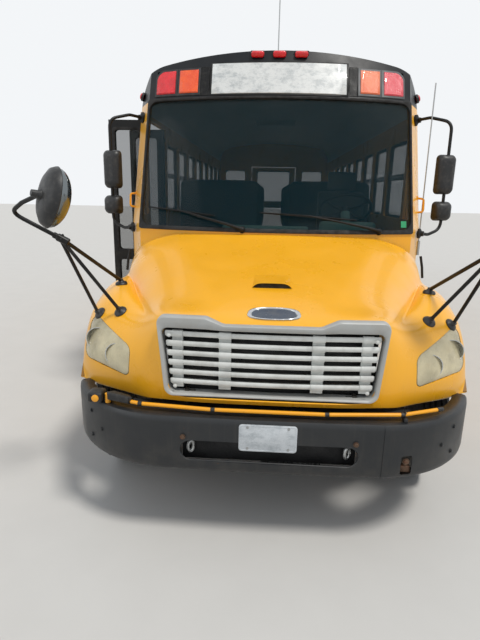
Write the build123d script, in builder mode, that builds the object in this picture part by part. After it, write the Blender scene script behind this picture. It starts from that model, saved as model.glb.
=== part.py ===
from build123d import *
import math
import os

os.makedirs("parts", exist_ok=True)

# Driving dimensions, in millimetres. The bus faces -Y and +X is its left, the driver's side.
# Overall sizes
bus_length = 9000
body_width = 2438
roof_z = 3030
shoulder_z = 2620
roof_corner_radius = 330
wall = 50
skirt_z = 470

# Heights inside the body
floor_z = 1000
floor_thickness = 45
sill_height = 85
window_sill_z = 1720
window_head_z = 2420
gutter_z = 2600

# Front of the body: plan of the windshield at its foot, and its rake
plate_thickness = 3
windshield_foot_z = 1650
windshield_top_z = 2655
rake = 0.426
windshield_center_d = 1389
windshield_corner_x = 1077
windshield_corner_d = 1607
pillar_x = 1190
pillar_d = 1845
cheek_d = 1915
cab_split_d = 2330
rear_wall_thickness = 50
rear_bumper_depth = 97

# Wheels and axles
tyre_radius = 500
tyre_width = 250
rim_radius = 292
front_axle_d = 1020
wheelbase = 5055
front_wheel_x = 1020
kingpin_x = 900
rear_outer_x = 1045
rear_inner_x = 730
arch_radius = 560
wheel_clearance = 30

# Chassis
rail_x = 430
rail_width = 76
rail_height = 230
rail_top_z = floor_z - floor_thickness - sill_height
rail_wall = 10

# Side windows and doors
window_pitch = 712
window_width = 630
window_corner = 50
first_window_d = 3170
door_front_d = 2350
leaf_length = 343
leaf_thickness = 40
leaf_gap = 10
door_bottom_z = 390
door_top_z = 2560
hinge_inset = 25

# Hood and bumper
hood_skin = 25
hood_rear_gap = 15
hood_bottom_z = 832
hood_front_d = 160
fender_bottom_z = 792
tilt_axis_d = 165
tilt_axis_z = 862
bumper_bottom_z = 460
bumper_top_z = 780
bumper_skin = 10
bumper_depth = 85

# Seats
row_pitch = 712
bench_width = 960
bench_depth = 400
cushion_thickness = 110
cushion_top = 440
back_height = 1080
back_thickness = 95
back_lean = 70
first_back_d = 3700

# Hinge pins: the pin's radius and the gap that runs around it
pin_gap = 0.3
tilt_pin_radius = 8
leaf_pin_radius = 8
arm_pin_radius = 6
door_pin_radius = 5
rear_hinge_x = 480
rear_hinge_proud = 12
stop_hinge_proud = 18
stop_d = 2420
stop_z = 1250

# Values worked out from the driving dimensions
front_y = -bus_length / 2 + plate_thickness
half_width = body_width / 2
rear_axle_d = front_axle_d + wheelbase
door_rear_d = door_front_d + 2 * (hinge_inset + leaf_length) + leaf_gap
leaf_pivot_x = half_width - leaf_thickness / 2 - 2
leaf_pivots = {"front": door_front_d + hinge_inset, "rear": door_rear_d - hinge_inset}
rear_face_d = bus_length - plate_thickness
rear_wall_d = rear_face_d - rear_bumper_depth - rear_wall_thickness
window_count = 1 + int((rear_wall_d - wall - window_width - first_window_d) / window_pitch)
row_count = 1 + int((rear_wall_d - back_lean - back_thickness - first_back_d) / row_pitch)
rail_bottom_z = rail_top_z - rail_height
tyre_corner = math.hypot(tyre_radius, front_wheel_x + tyre_width / 2 - kingpin_x)
wheel_room_radius = tyre_corner + wheel_clearance
wheel_room_z = 2 * tyre_radius + 3 * wheel_clearance


def back(distance):
    """Y of a point that lies this far behind the front bumper's face."""
    return front_y + distance


def add_box(x, d, z, mode=Mode.ADD):
    """A box between pairs of x, distance behind the bumper face, and height."""
    center = ((x[0] + x[1]) / 2, back((d[0] + d[1]) / 2), (z[0] + z[1]) / 2)
    with Locations(center):
        Box(abs(x[1] - x[0]), abs(d[1] - d[0]), abs(z[1] - z[0]), mode=mode)


def add_tube(points, radius, bend):
    """A round bar along straight runs with bends of one radius."""
    with BuildLine() as route:
        if len(points) > 2:
            FilletPolyline(*points, radius=bend)
        else:
            Line(*points)
    with BuildSketch(Plane(origin=route.line @ 0, z_dir=route.line % 0)) as section:
        Circle(radius)
    sweep(sections=section.sketch, path=route.line)


def add_side_prism(outline, x0, x1, mode=Mode.ADD):
    """A prism along X of an outline of (distance behind the bumper, height) points."""
    with BuildSketch(Plane.YZ.offset(x0)) as profile:
        with BuildLine():
            Polyline(*[(back(d), z) for d, z in outline], close=True)
        make_face()
    extrude(profile.sketch, amount=x1 - x0, mode=mode)


def finish(builder, label):
    """Label a finished piece and write it out."""
    builder.part.label = label
    export_step(builder.part, "parts/" + label + ".step")


def body_section(inset):
    """Closed XZ outline of the body, set in by a distance, from well below the skirt."""
    side_x = half_width - inset
    corner_r = roof_corner_radius - inset
    top_z = roof_z - inset
    corner_x = side_x - corner_r
    drop = shoulder_z - top_z
    crown_r = (corner_r**2 - corner_x**2 - drop**2) / (2 * (drop + corner_r))
    crown_z = top_z - crown_r
    reach = math.hypot(corner_x, shoulder_z - crown_z)
    join = (corner_x / reach * crown_r, crown_z + (shoulder_z - crown_z) / reach * crown_r)
    lean = math.atan2(join[1] - shoulder_z, join[0] - corner_x) / 2
    middle = (corner_x + corner_r * math.cos(lean), shoulder_z + corner_r * math.sin(lean))
    with BuildSketch(Plane.XZ) as section:
        with BuildLine():
            Line((-side_x, 0), (side_x, 0))
            Line((side_x, 0), (side_x, shoulder_z))
            ThreePointArc((side_x, shoulder_z), middle, join)
            ThreePointArc(join, (0, top_z), (-join[0], join[1]))
            ThreePointArc((-join[0], join[1]), (-middle[0], middle[1]), (-side_x, shoulder_z))
            Line((-side_x, shoulder_z), (-side_x, 0))
        make_face()
    return section.sketch


def front_plan(forward, z):
    """Plan of everything behind the windshield's line, moved forward by a distance."""
    widen = forward * 0.5
    corner = (windshield_corner_x + widen, back(windshield_corner_d - forward))
    pillar = (pillar_x + widen, back(pillar_d - forward))
    far = body_width
    end = back(bus_length * 1.4)
    with BuildSketch(Plane.XY.offset(z)) as plan:
        with BuildLine():
            ThreePointArc((-corner[0], corner[1]), (0, back(windshield_center_d - forward)), corner)
            Line(corner, pillar)
            Line(pillar, (half_width + widen, back(cheek_d - forward)))
            Line((half_width + widen, back(cheek_d - forward)), (far, back(cheek_d - forward)))
            Line((far, back(cheek_d - forward)), (far, end))
            Line((far, end), (-far, end))
            Line((-far, end), (-far, back(cheek_d - forward)))
            Line((-far, back(cheek_d - forward)), (-half_width - widen, back(cheek_d - forward)))
            Line((-half_width - widen, back(cheek_d - forward)), (-pillar[0], pillar[1]))
            Line((-pillar[0], pillar[1]), (-corner[0], corner[1]))
        make_face()
    return plan.sketch


rake_direction = (0, rake, 1)
rake_length = (roof_z + 200 - windshield_foot_z) * math.hypot(1, rake)


def body_envelope(inset):
    """Solid of the whole body set in by a distance, its front cut to the windshield's rake."""
    with BuildPart() as tunnel:
        with BuildSketch(Plane.XZ.offset(-back(windshield_center_d - 10))):
            add(body_section(inset))
        extrude(amount=-(rear_wall_d + rear_wall_thickness - windshield_center_d + 10))
    with BuildPart() as raked:
        extrude(front_plan(-inset, windshield_foot_z), amount=rake_length, dir=rake_direction)
        extrude(front_plan(-inset, 0), amount=windshield_foot_z)
    return tunnel.part & raked.part


outer_body = body_envelope(0)
inner_body = body_envelope(wall)
body_shell = outer_body - inner_body

# Floor line and openings that several panels share
window_starts = [first_window_d + i * window_pitch for i in range(window_count)]


def keep_box(x, d, z):
    """Cut the part under construction down to one box."""
    add_box(x, d, z, mode=Mode.INTERSECT)


def cut_side_window(d0, d1, z0, z1, side):
    """A rounded window through one side wall; side is +1 for the left, -1 for the right."""
    with BuildSketch(Plane.YZ.offset(side * (half_width - 3 * wall))) as opening:
        with Locations((back((d0 + d1) / 2), (z0 + z1) / 2)):
            RectangleRounded(d1 - d0, z1 - z0, window_corner)
    extrude(opening.sketch, amount=side * 6 * wall, mode=Mode.SUBTRACT)


def cut_wheel_arch(side):
    """Round opening for the rear wheels in one side wall."""
    with BuildSketch(Plane.YZ.offset(side * (half_width - 3 * wall))) as opening:
        with Locations((back(rear_axle_d), tyre_radius)):
            Circle(arch_radius)
    extrude(opening.sketch, amount=side * 6 * wall, mode=Mode.SUBTRACT)


driver_window_d = (cab_split_d + 40, first_window_d - 90)

# Left side wall, with the driver's window and the row of passenger windows
with BuildPart() as side_left:
    add(body_shell)
    keep_box((0, body_width), (cab_split_d, rear_wall_d), (skirt_z, gutter_z))
    cut_side_window(driver_window_d[0], driver_window_d[1], window_sill_z, window_head_z, 1)
    for start in window_starts:
        cut_side_window(start, start + window_width, window_sill_z, window_head_z, 1)
    cut_wheel_arch(1)
finish(side_left, "side_left")

# Right side wall, with the entrance
with BuildPart() as side_right:
    add(body_shell)
    keep_box((-body_width, 0), (cab_split_d, rear_wall_d), (skirt_z, gutter_z))
    add_box((-body_width, 0), (door_front_d, door_rear_d), (0, door_top_z), mode=Mode.SUBTRACT)
    for pivot_d in leaf_pivots.values():
        with Locations((-leaf_pivot_x, back(pivot_d), door_top_z - 1)):
            Cylinder(leaf_pin_radius + pin_gap, 24, align=(Align.CENTER, Align.CENTER, Align.MIN),
                     mode=Mode.SUBTRACT)
    for start in window_starts:
        cut_side_window(start, start + window_width, window_sill_z, window_head_z, -1)
    cut_wheel_arch(-1)
finish(side_right, "side_right")

# Roof shell, with the escape hatch's opening
hatch_d = 5300
hatch_size = 600
hatch_rim = 40
coaming = 20
lid_thickness = 35
hatch_hinge_xs = (-200, 200)
hatch_pin_d = hatch_d - hatch_rim - 12
hatch_pin_z = roof_z + 38
with BuildPart() as roof:
    add(body_shell)
    keep_box((-body_width, body_width), (cab_split_d, rear_wall_d), (gutter_z, roof_z + 100))
    add_box((-hatch_size / 2, hatch_size / 2), (hatch_d, hatch_d + hatch_size),
            (roof_z - 300, roof_z + 100), mode=Mode.SUBTRACT)
    add_box((-hatch_size / 2 - hatch_rim, hatch_size / 2 + hatch_rim),
            (hatch_d - hatch_rim, hatch_d + hatch_size + hatch_rim), (roof_z - wall + 5, roof_z + coaming))
    add_box((-hatch_size / 2, hatch_size / 2), (hatch_d, hatch_d + hatch_size),
            (roof_z - 300, roof_z + 100), mode=Mode.SUBTRACT)
    # hinge brackets ahead of the hatch, with their pins
    for x in hatch_hinge_xs:
        for end in (-1, 1):
            add_box((x + end * 26, x + end * 36), (hatch_pin_d - 8, hatch_pin_d + 8),
                    (roof_z - 20, hatch_pin_z + 6))
        with Locations(Location((x, back(hatch_pin_d), hatch_pin_z), (0, 90, 0))):
            Cylinder(arm_pin_radius, 70)
finish(roof, "roof")

# Rear wall, with the emergency door's opening and four windows
rear_door_width = 960
rear_door_bottom_z = 1010
rear_door_top_z = 2500
rear_window_x = (620, 1060)
rear_window_zs = [(1420, 1720), (1800, 2420)]
rear_door_pane_x = 360
rear_door_pane_zs = [(1160, 1640), (1760, 2410)]
rear_hinge_zs = (1180, 1700, 2330)
with BuildPart() as rear_wall:
    with BuildSketch(Plane.XZ.offset(-back(rear_wall_d))):
        add(body_section(0))
    extrude(amount=-rear_wall_thickness)
    keep_box((-body_width, body_width), (rear_wall_d, rear_wall_d + rear_wall_thickness),
             (skirt_z, roof_z))
    add_box((-rear_door_width / 2, rear_door_width / 2), (rear_wall_d - wall, rear_wall_d + 2 * wall),
            (rear_door_bottom_z, rear_door_top_z), mode=Mode.SUBTRACT)
    for side in (-1, 1):
        for z0, z1 in rear_window_zs:
            add_box((side * rear_window_x[0], side * rear_window_x[1]),
                    (rear_wall_d - wall, rear_wall_d + 2 * wall), (z0, z1), mode=Mode.SUBTRACT)
    hinge_d = rear_wall_d + rear_wall_thickness + rear_hinge_proud
    for z in rear_hinge_zs:
        for end in (-1, 1):
            add_box((-rear_hinge_x - 40, -rear_hinge_x + 6), (hinge_d - rear_hinge_proud, hinge_d + 6),
                    (z + end * 31, z + end * 50))
        with Locations((-rear_hinge_x, back(hinge_d), z)):
            Cylinder(door_pin_radius, 90)
finish(rear_wall, "rear_wall")

# Front of the body: pillars, sill under the windshield and the lower front corners
quarter_outline = [(1965, 1725), (2290, 1725), (2290, 2500)]
opening_reach = 120
with BuildPart() as windshield_opening:
    extrude(front_plan(opening_reach, windshield_foot_z), amount=rake_length, dir=rake_direction)
    extrude(front_plan(-wall - 60, windshield_foot_z), amount=rake_length, dir=rake_direction,
            mode=Mode.SUBTRACT)
    keep_box((-windshield_corner_x, windshield_corner_x), (0, cab_split_d),
             (windshield_foot_z, windshield_top_z + wall))
engine_tunnel_x = 560
engine_tunnel_z = 1330
with BuildPart() as cowl:
    add(body_shell)
    keep_box((-body_width, body_width), (0, cab_split_d), (skirt_z, windshield_top_z))
    add(windshield_opening.part, mode=Mode.SUBTRACT)
    # quarter windows ahead of the entrance and of the driver's window
    add_side_prism(quarter_outline, -half_width - wall, half_width + wall, mode=Mode.SUBTRACT)
    # hollow under the hood: the engine reaches back through it
    add_box((-engine_tunnel_x, engine_tunnel_x), (1300, 1700), (0, engine_tunnel_z), mode=Mode.SUBTRACT)
    # room for the steered wheels
    for side in (-1, 1):
        with Locations((side * kingpin_x, back(front_axle_d), wheel_room_z / 2)):
            Cylinder(wheel_room_radius, wheel_room_z, mode=Mode.SUBTRACT)
finish(cowl, "cowl")

# Black cap over the windshield, with pockets for the sign and the warning lamps
lamp_z = (2712, 2895)
red_lamp_x = (835, 1015)
amber_lamp_x = (640, 815)
sign_x = 560
pocket_depth = 30
panel_proud = 2
with BuildPart() as lamp_band:
    extrude(front_plan(panel_proud, windshield_foot_z), amount=rake_length, dir=rake_direction)
    extrude(front_plan(-pocket_depth, windshield_foot_z), amount=rake_length,
            dir=rake_direction, mode=Mode.SUBTRACT)
    keep_box((-red_lamp_x[1], red_lamp_x[1]), (0, cab_split_d), lamp_z)
with BuildPart() as front_cap:
    add(body_shell)
    keep_box((-body_width, body_width), (0, cab_split_d), (windshield_top_z, roof_z))
    add(lamp_band.part, mode=Mode.SUBTRACT)
finish(front_cap, "front_cap")


def front_panel(x0, x1):
    """A panel set in the cap's pocket between two places across the front."""
    with BuildPart() as panel:
        add(lamp_band.part)
        keep_box((x0, x1), (0, cab_split_d), lamp_z)
    return panel.part


# Blank sign panels over the windshield and on the rear, and the number plate
front_sign = front_panel(-sign_x, sign_x)
red_panels = [front_panel(side * red_lamp_x[0], side * red_lamp_x[1]) for side in (-1, 1)]
amber_panels = [front_panel(side * amber_lamp_x[0], side * amber_lamp_x[1]) for side in (-1, 1)]
plate_x = (-157, 148)
plate_z = (605, 757)
rear_sign_z = (2600, 2800)
rear_sign_thickness = 4
rear_face = rear_wall_d + rear_wall_thickness
with BuildPart() as sign_panels:
    add(front_sign)
    add_box((-sign_x, sign_x), (rear_face, rear_face + rear_sign_thickness), rear_sign_z)
    add_box(plate_x, (-plate_thickness, 0), plate_z)
finish(sign_panels, "sign_panels")

# Windshield glass, bedded in its opening
glass = 8
glass_depth = 12
glass_gap = 0.3
with BuildPart() as windshield:
    extrude(front_plan(-glass_depth, windshield_foot_z), amount=rake_length, dir=rake_direction)
    extrude(front_plan(-glass_depth - glass, windshield_foot_z), amount=rake_length,
            dir=rake_direction, mode=Mode.SUBTRACT)
    keep_box((-windshield_corner_x + glass_gap, windshield_corner_x - glass_gap),
             (0, cab_split_d), (windshield_foot_z + 1, windshield_top_z - 1))
finish(windshield, "windshield")

# Panes of the side and rear windows
pane_inset = 22
rear_pane_d = (rear_wall_d + pane_inset - 2, rear_wall_d + pane_inset - 2 + glass)
with BuildPart() as side_windows:
    for side in (-1, 1):
        bays = [(start, start + window_width) for start in window_starts]
        if side == 1:
            bays.insert(0, driver_window_d)
        for d0, d1 in bays:
            pane_plane = Plane.YZ.offset(side * (half_width - pane_inset - glass / 2))
            with BuildSketch(pane_plane) as pane:
                with Locations((back((d0 + d1) / 2), (window_sill_z + window_head_z) / 2)):
                    RectangleRounded(d1 - d0 - 2 * glass_gap, window_head_z - window_sill_z - 2 * glass_gap,
                                     window_corner)
            extrude(pane.sketch, amount=glass / 2, both=True)
        quarter_x = side * (half_width - pane_inset - glass / 2)
        add_side_prism(quarter_outline, min(quarter_x, quarter_x + side * glass),
                       max(quarter_x, quarter_x + side * glass))
    for side in (-1, 1):
        for z0, z1 in rear_window_zs:
            add_box((side * rear_window_x[0], side * rear_window_x[1]),
                    rear_pane_d, (z0, z1))
finish(side_windows, "side_windows")

# Black rub rails, mud flaps and the stop arm's hinge bracket
housing_d = (rear_axle_d - 600, rear_axle_d + 600)
rail_bands = [(590, 660), (985, 1055), (1395, 1455), (1640, 1690)]
rail_proud = 16
arch_clear_d = arch_radius + 70
with BuildPart() as body_trim:
    for side in (-1, 1):
        x = (side * half_width, side * (half_width + rail_proud))
        start_d = door_rear_d + 20 if side == -1 else cab_split_d + 20
        for z0, z1 in rail_bands:
            if z0 < tyre_radius + arch_radius:
                add_box(x, (start_d, rear_axle_d - arch_clear_d), (z0, z1))
                add_box(x, (rear_axle_d + arch_clear_d, rear_wall_d - 20), (z0, z1))
            else:
                add_box(x, (start_d, rear_wall_d - 20), (z0, z1))
        add_box((side * 600, side * 1160), (housing_d[1] - 18, housing_d[1] - 10), (180, rail_top_z))
    pin_x = half_width + stop_hinge_proud
    for z0, z1 in ((stop_z - 100, stop_z - 80), (stop_z + 80, stop_z + 100)):
        add_box((half_width, pin_x + 12), (stop_d - 16, stop_d + 16), (z0, z1))
    add_box((half_width, half_width + 4), (stop_d - 16, stop_d + 16), (stop_z - 100, stop_z + 100))
    with Locations((pin_x, back(stop_d), stop_z)):
        Cylinder(arm_pin_radius, 190)
finish(body_trim, "body_trim")

# Cabin floor with cross sills, wheel housings and the hole for the entrance steps
inner_x = half_width - wall
well_x = 610
housing_z = 1175
housing_x = (560, inner_x)
firewall_d = 1660
first_sill_d = 1900
sill_pitch = 680
sill_width = 70
step_rise = 205
step_run = 235
step_sheet = 20
step_count = 3
sill_count = math.ceil((rear_wall_d - sill_width - first_sill_d) / sill_pitch)
with BuildPart() as floor:
    add_box((-inner_x, inner_x), (firewall_d, rear_wall_d), (floor_z - floor_thickness, floor_z))
    for i in range(sill_count):
        sill_d = first_sill_d + i * sill_pitch
        add_box((-inner_x, inner_x), (sill_d, sill_d + sill_width), (rail_top_z, floor_z - floor_thickness))
    add_box((-inner_x - 1, -well_x + step_sheet), (door_front_d, door_rear_d), (0, floor_z + 1),
            mode=Mode.SUBTRACT)
    for side in (-1, 1):
        x = (side * housing_x[0], side * housing_x[1])
        add_box(x, housing_d, (rail_top_z, housing_z))
        inner = (side * (housing_x[0] + 20), side * (housing_x[1] + 1))
        add_box(inner, (housing_d[0] + 20, housing_d[1] - 20), (0, housing_z - 20),
                mode=Mode.SUBTRACT)
    add(inner_body, mode=Mode.INTERSECT)
finish(floor, "floor")

# Entrance steps
with BuildPart() as stepwell:
    x = -well_x
    with BuildSketch(Plane.XZ.offset(-back(door_front_d))) as stairs:
        with BuildLine():
            tread_z = floor_z - step_rise
            upper = [(x, floor_z)]
            for i in range(step_count):
                upper.append((x, tread_z))
                x = max(x - step_run, -inner_x - 30)
                if i == step_count - 1:
                    x = -inner_x - 30
                upper.append((x, tread_z))
                tread_z = tread_z - step_rise
            lower = [(px + step_sheet, pz - step_sheet) for px, pz in reversed(upper)]
            lower[0] = (upper[-1][0], upper[-1][1] - step_sheet)
            lower[-1] = (upper[0][0] + step_sheet, upper[0][1])
            Polyline(*upper, *lower, close=True)
        make_face()
    extrude(stairs.sketch, amount=-(door_rear_d - door_front_d))
    for d in (door_front_d, door_rear_d - step_sheet):
        add_box((-inner_x, -well_x), (d, d + step_sheet), (385, floor_z))
finish(stepwell, "stepwell")

# Chassis frame: two channel rails with cross members
frame_front_d = 205
tow_d = 130
tow_z = 588
tow_thickness = 25
tow_bore = 19
cross_ds = [345, 2200, 3200, 4200, 5200, rear_axle_d + 425, rear_wall_d - 1250, rear_wall_d - 150]
with BuildPart() as frame:
    for side in (-1, 1):
        with BuildSketch(Plane.XZ.offset(-back(frame_front_d))) as channel:
            with Locations((side * rail_x, rail_top_z - rail_height / 2)):
                Rectangle(rail_width, rail_height)
                with Locations((-side * rail_wall, 0)):
                    Rectangle(rail_width, rail_height - 2 * rail_wall, mode=Mode.SUBTRACT)
        extrude(channel.sketch, amount=-(rear_wall_d - frame_front_d))
    web_x = rail_x + rail_width / 2 - rail_wall
    for d in cross_ds:
        add_box((-web_x, web_x), (d, d + 60), (rail_bottom_z + 60, rail_bottom_z + 140))
    # lugs that carry the hood's tilt pins
    for side in (-1, 1):
        add_box((side * (rail_x + 15), side * (rail_x + 38)), (tilt_axis_d - 15, frame_front_d + 60),
                (tilt_axis_z - 12, tilt_axis_z + 12))
        pin_center = (side * (rail_x + 1), back(tilt_axis_d), tilt_axis_z)
        with Locations(Location(pin_center, (0, 90, 0))):
            Cylinder(tilt_pin_radius, 44)
    # tow eyes behind the bumper's slot
    for side in (-1, 1):
        add_box((side * (rail_x - 40), side * (rail_x + 38)), (tow_d - 45, frame_front_d + 60),
                (tow_z - tow_thickness / 2, tow_z + tow_thickness / 2))
        add_box((side * (rail_x - 20), side * (rail_x + 38)), (frame_front_d, frame_front_d + 60),
                (tow_z, rail_bottom_z + 5))
        with Locations((side * rail_x, back(tow_d), tow_z)):
            Cylinder(tow_bore, 2 * tow_thickness, mode=Mode.SUBTRACT)
finish(frame, "frame")

# Axles and leaf springs
spring_half = 640
spring_width = 76
spring_drop = 45
leaf_end = 25
leaf_middle = 50
beam_z = 430
eye_half = 38
pin_radius = 20
axle_tube_radius = 62
differential_radius = 185
stub_radius = 45
with BuildPart() as axles:
    # front beam, dropped between the springs
    with BuildSketch(Plane.XZ.offset(-back(front_axle_d - 45))) as beam:
        with BuildLine():
            upper = [(-kingpin_x - 20, tyre_radius + eye_half), (-kingpin_x + 50, tyre_radius + eye_half),
                     (-620, beam_z + 50), (620, beam_z + 50),
                     (kingpin_x - 50, tyre_radius + eye_half), (kingpin_x + 20, tyre_radius + eye_half)]
            lower = [(kingpin_x + 20, tyre_radius - eye_half), (kingpin_x - 60, tyre_radius - eye_half),
                     (600, beam_z - 50), (-600, beam_z - 50),
                     (-kingpin_x + 60, tyre_radius - eye_half), (-kingpin_x - 20, tyre_radius - eye_half)]
            Polyline(*upper, *lower, close=True)
        make_face()
    extrude(beam.sketch, amount=-90)
    for side in (-1, 1):
        with Locations((side * kingpin_x, back(front_axle_d), tyre_radius)):
            Cylinder(pin_radius + 0.3, 4 * eye_half, mode=Mode.SUBTRACT)
    # rear tube and differential
    with Locations(Location((0, back(rear_axle_d), tyre_radius), (0, 90, 0))):
        Cylinder(axle_tube_radius, 2 * (rear_inner_x - tyre_width / 2 + 40))
        Cylinder(stub_radius, 2 * (rear_outer_x - 60))
    with Locations(Location((0, back(rear_axle_d), tyre_radius), (90, 0, 0))):
        Cylinder(differential_radius, 230)
    # leaf springs, with blocks onto the axles and hangers up to the rails
    for axle_d, seat_z in ((front_axle_d, beam_z + 50), (rear_axle_d, tyre_radius + 62)):
        for side in (-1, 1):
            x0 = side * rail_x - spring_width / 2
            eye_z = rail_bottom_z - spring_drop
            mid_z = max(seat_z, eye_z - 110)
            with BuildSketch(Plane.YZ.offset(x0)) as leaf:
                with BuildLine():
                    a = (back(axle_d - spring_half), eye_z)
                    b = (back(axle_d + spring_half), eye_z)
                    ThreePointArc(a, (back(axle_d), mid_z), b)
                    Line(b, (b[0], b[1] + leaf_end))
                    ThreePointArc((b[0], b[1] + leaf_end), (back(axle_d), mid_z + leaf_middle),
                                  (a[0], a[1] + leaf_end))
                    Line((a[0], a[1] + leaf_end), a)
                make_face()
            extrude(leaf.sketch, amount=spring_width)
            add_box((x0 + 3, x0 + spring_width - 3), (axle_d - 60, axle_d + 60),
                    (seat_z - 30, mid_z + 30))
            for end in (-1, 1):
                d = axle_d + end * (spring_half - 30)
                add_box((x0 + 10, x0 + spring_width - 10), (d - 25, d + 25),
                        (eye_z + 10, rail_bottom_z))
finish(axles, "axles")

# Engine block, radiator, gearbox and shaft
engine_d = (480, 1400)
engine_x = 330
engine_top_z = 1180
radiator_d = (250, 330)
radiator_z = (rail_bottom_z + 220, 1200)
radiator_x = 360
gearbox_radius = 170
gearbox_end_d = 2100
shaft_radius = 45
shaft_z = 600
shaft_end_d = rear_axle_d - differential_radius - 5
with BuildPart() as engine:
    add_box((-engine_x, engine_x), engine_d, (rail_bottom_z + 10, engine_top_z))
    add_box((-radiator_x, radiator_x), radiator_d, radiator_z)
    for side in (-1, 1):
        add_box((side * (radiator_x - 10), side * rail_x), (radiator_d[0] + 20, radiator_d[1] - 20),
                (rail_top_z, rail_top_z + 30))
    with Locations(Location((0, back((engine_d[1] + gearbox_end_d) / 2), rail_bottom_z + 20), (90, 0, 0))):
        Cylinder(gearbox_radius, gearbox_end_d - engine_d[1])
    with Locations(Location((0, back((gearbox_end_d + shaft_end_d) / 2), shaft_z), (90, 0, 0))):
        Cylinder(shaft_radius, shaft_end_d - gearbox_end_d)
finish(engine, "engine")

# Fuel tank and exhaust
tank_x = (-half_width + 79, -500)
tank_d = (3650, 4850)
tank_round = 60
tank_bracket_width = 60
with BuildPart() as fuel_tank:
    add_box(tank_x, tank_d, (skirt_z + 10, rail_top_z - 20))
    fillet(fuel_tank.edges().filter_by(Axis.Y), tank_round)
    for d in (tank_d[0] + 170, tank_d[1] - 230):
        add_box((tank_x[1] - 20, -rail_x - rail_width / 2), (d, d + tank_bracket_width),
                (rail_bottom_z + 60, rail_top_z - 90))
finish(fuel_tank, "fuel_tank")

pipe_radius = 42
pipe_bend = 120
pipe_x = 535
silencer_x = 575
silencer_z = 700
silencer_d = 3000
silencer_radius = 95
silencer_length = 900
sump_side_z = rail_bottom_z + 10 - pipe_radius - pin_gap
with BuildPart() as exhaust:
    add_tube([(250, back(1300), sump_side_z), (250, back(1800), 580), (pipe_x, back(2050), 580),
              (pipe_x, back(2500), 690), (pipe_x, back(rear_wall_d - 950), 760),
              (pipe_x, back(rear_wall_d - 550), 425), (pipe_x, back(rear_face + 30), 405)],
             pipe_radius, pipe_bend)
    with Locations(Location((silencer_x, back(silencer_d), silencer_z), (90, 0, 0))):
        Cylinder(silencer_radius, silencer_length)
    add_box((rail_x + rail_width / 2, silencer_x - silencer_radius + 20), (silencer_d - 20, silencer_d + 20),
            (silencer_z - 40, silencer_z + 20))
finish(exhaust, "exhaust")


# Front bumper: a channel swept back at its ends, with a long slot
def bumper_plan(inset, z):
    """Plan of the bumper's face moved back by a distance, closed straight across behind."""
    flat = 520
    end = (half_width - 36 - inset * 0.9, back(470))
    with BuildSketch(Plane.XY.offset(z)) as plan:
        with BuildLine():
            ThreePointArc((-flat, back(10 + inset)), (0, back(inset)), (flat, back(10 + inset)))
            bow = (flat + 0.62 * (end[0] - flat) + 15, back(inset + 140))
            ThreePointArc((flat, back(10 + inset)), bow, end)
            Line(end, (-end[0], end[1]))
            ThreePointArc((-end[0], end[1]), (-bow[0], bow[1]), (-flat, back(10 + inset)))
        make_face()
    return plan.sketch


slot_z = 588
slot_size = (950, 120)
arm_pivot_x = 900
arm_pivot_d = 150
arm_z = 812
bumper_height = bumper_top_z - bumper_bottom_z
with BuildPart() as bumper_hollow:
    extrude(bumper_plan(bumper_skin, bumper_bottom_z + bumper_skin),
            amount=bumper_height - 2 * bumper_skin)
with BuildPart() as bumper_behind:
    extrude(bumper_plan(bumper_depth, bumper_bottom_z - wall), amount=bumper_height + 2 * wall)
with BuildPart() as front_bumper:
    extrude(bumper_plan(0, bumper_bottom_z), amount=bumper_height)
    add(bumper_hollow.part, mode=Mode.SUBTRACT)
    add(bumper_behind.part, mode=Mode.SUBTRACT)
    with BuildSketch(Plane.XZ.offset(-back(-wall))) as slot:
        with Locations((0, slot_z)):
            SlotOverall(*slot_size)
    extrude(slot.sketch, amount=-2 * wall, mode=Mode.SUBTRACT)
    # brackets back to the frame rails
    for side in (-1, 1):
        add_box((side * (rail_x - 30), side * (rail_x + 30)), (bumper_skin - 1, frame_front_d),
                (rail_bottom_z + 15, bumper_top_z - bumper_skin))
    # box that swings the crossing arm
    add_box((-arm_pivot_x - 110, -arm_pivot_x - 22), (arm_pivot_d - 5, arm_pivot_d + 60),
            (bumper_top_z - 5, bumper_top_z + 58))
    with Locations((-arm_pivot_x, back(arm_pivot_d), bumper_top_z - 5)):
        Cylinder(arm_pin_radius, 63, align=(Align.CENTER, Align.CENTER, Align.MIN))
finish(front_bumper, "front_bumper")

rear_bumper_x = half_width - 39
rear_bumper_z = (500, 740)
rear_bumper_skin = 14
rear_bumper_corner = 70
with BuildPart() as rear_bumper:
    add_box((-rear_bumper_x, rear_bumper_x), (rear_face, rear_face_d), rear_bumper_z)
    fillet(rear_bumper.edges().filter_by(Axis.Z).group_by(Axis.Y)[-1], rear_bumper_corner)
    add_box((rear_bumper_skin + 6 - rear_bumper_x, rear_bumper_x - rear_bumper_skin - 6),
            (rear_face, rear_face_d - rear_bumper_skin),
            (rear_bumper_z[0] + rear_bumper_skin, rear_bumper_z[1] - rear_bumper_skin), mode=Mode.SUBTRACT)
finish(rear_bumper, "rear_bumper")

# Hood: nose section outlines at four stations behind the bumper
# distance, side x, side top z, crease x, crease z, centre z
nose_stations = [
    (150, 600, 1215, 245, 1250, 1258),
    (520, 790, 1265, 400, 1350, 1372),
    (980, 985, 1330, 580, 1455, 1492),
    (1620, 1118, 1480, 820, 1590, 1632),
]


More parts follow.
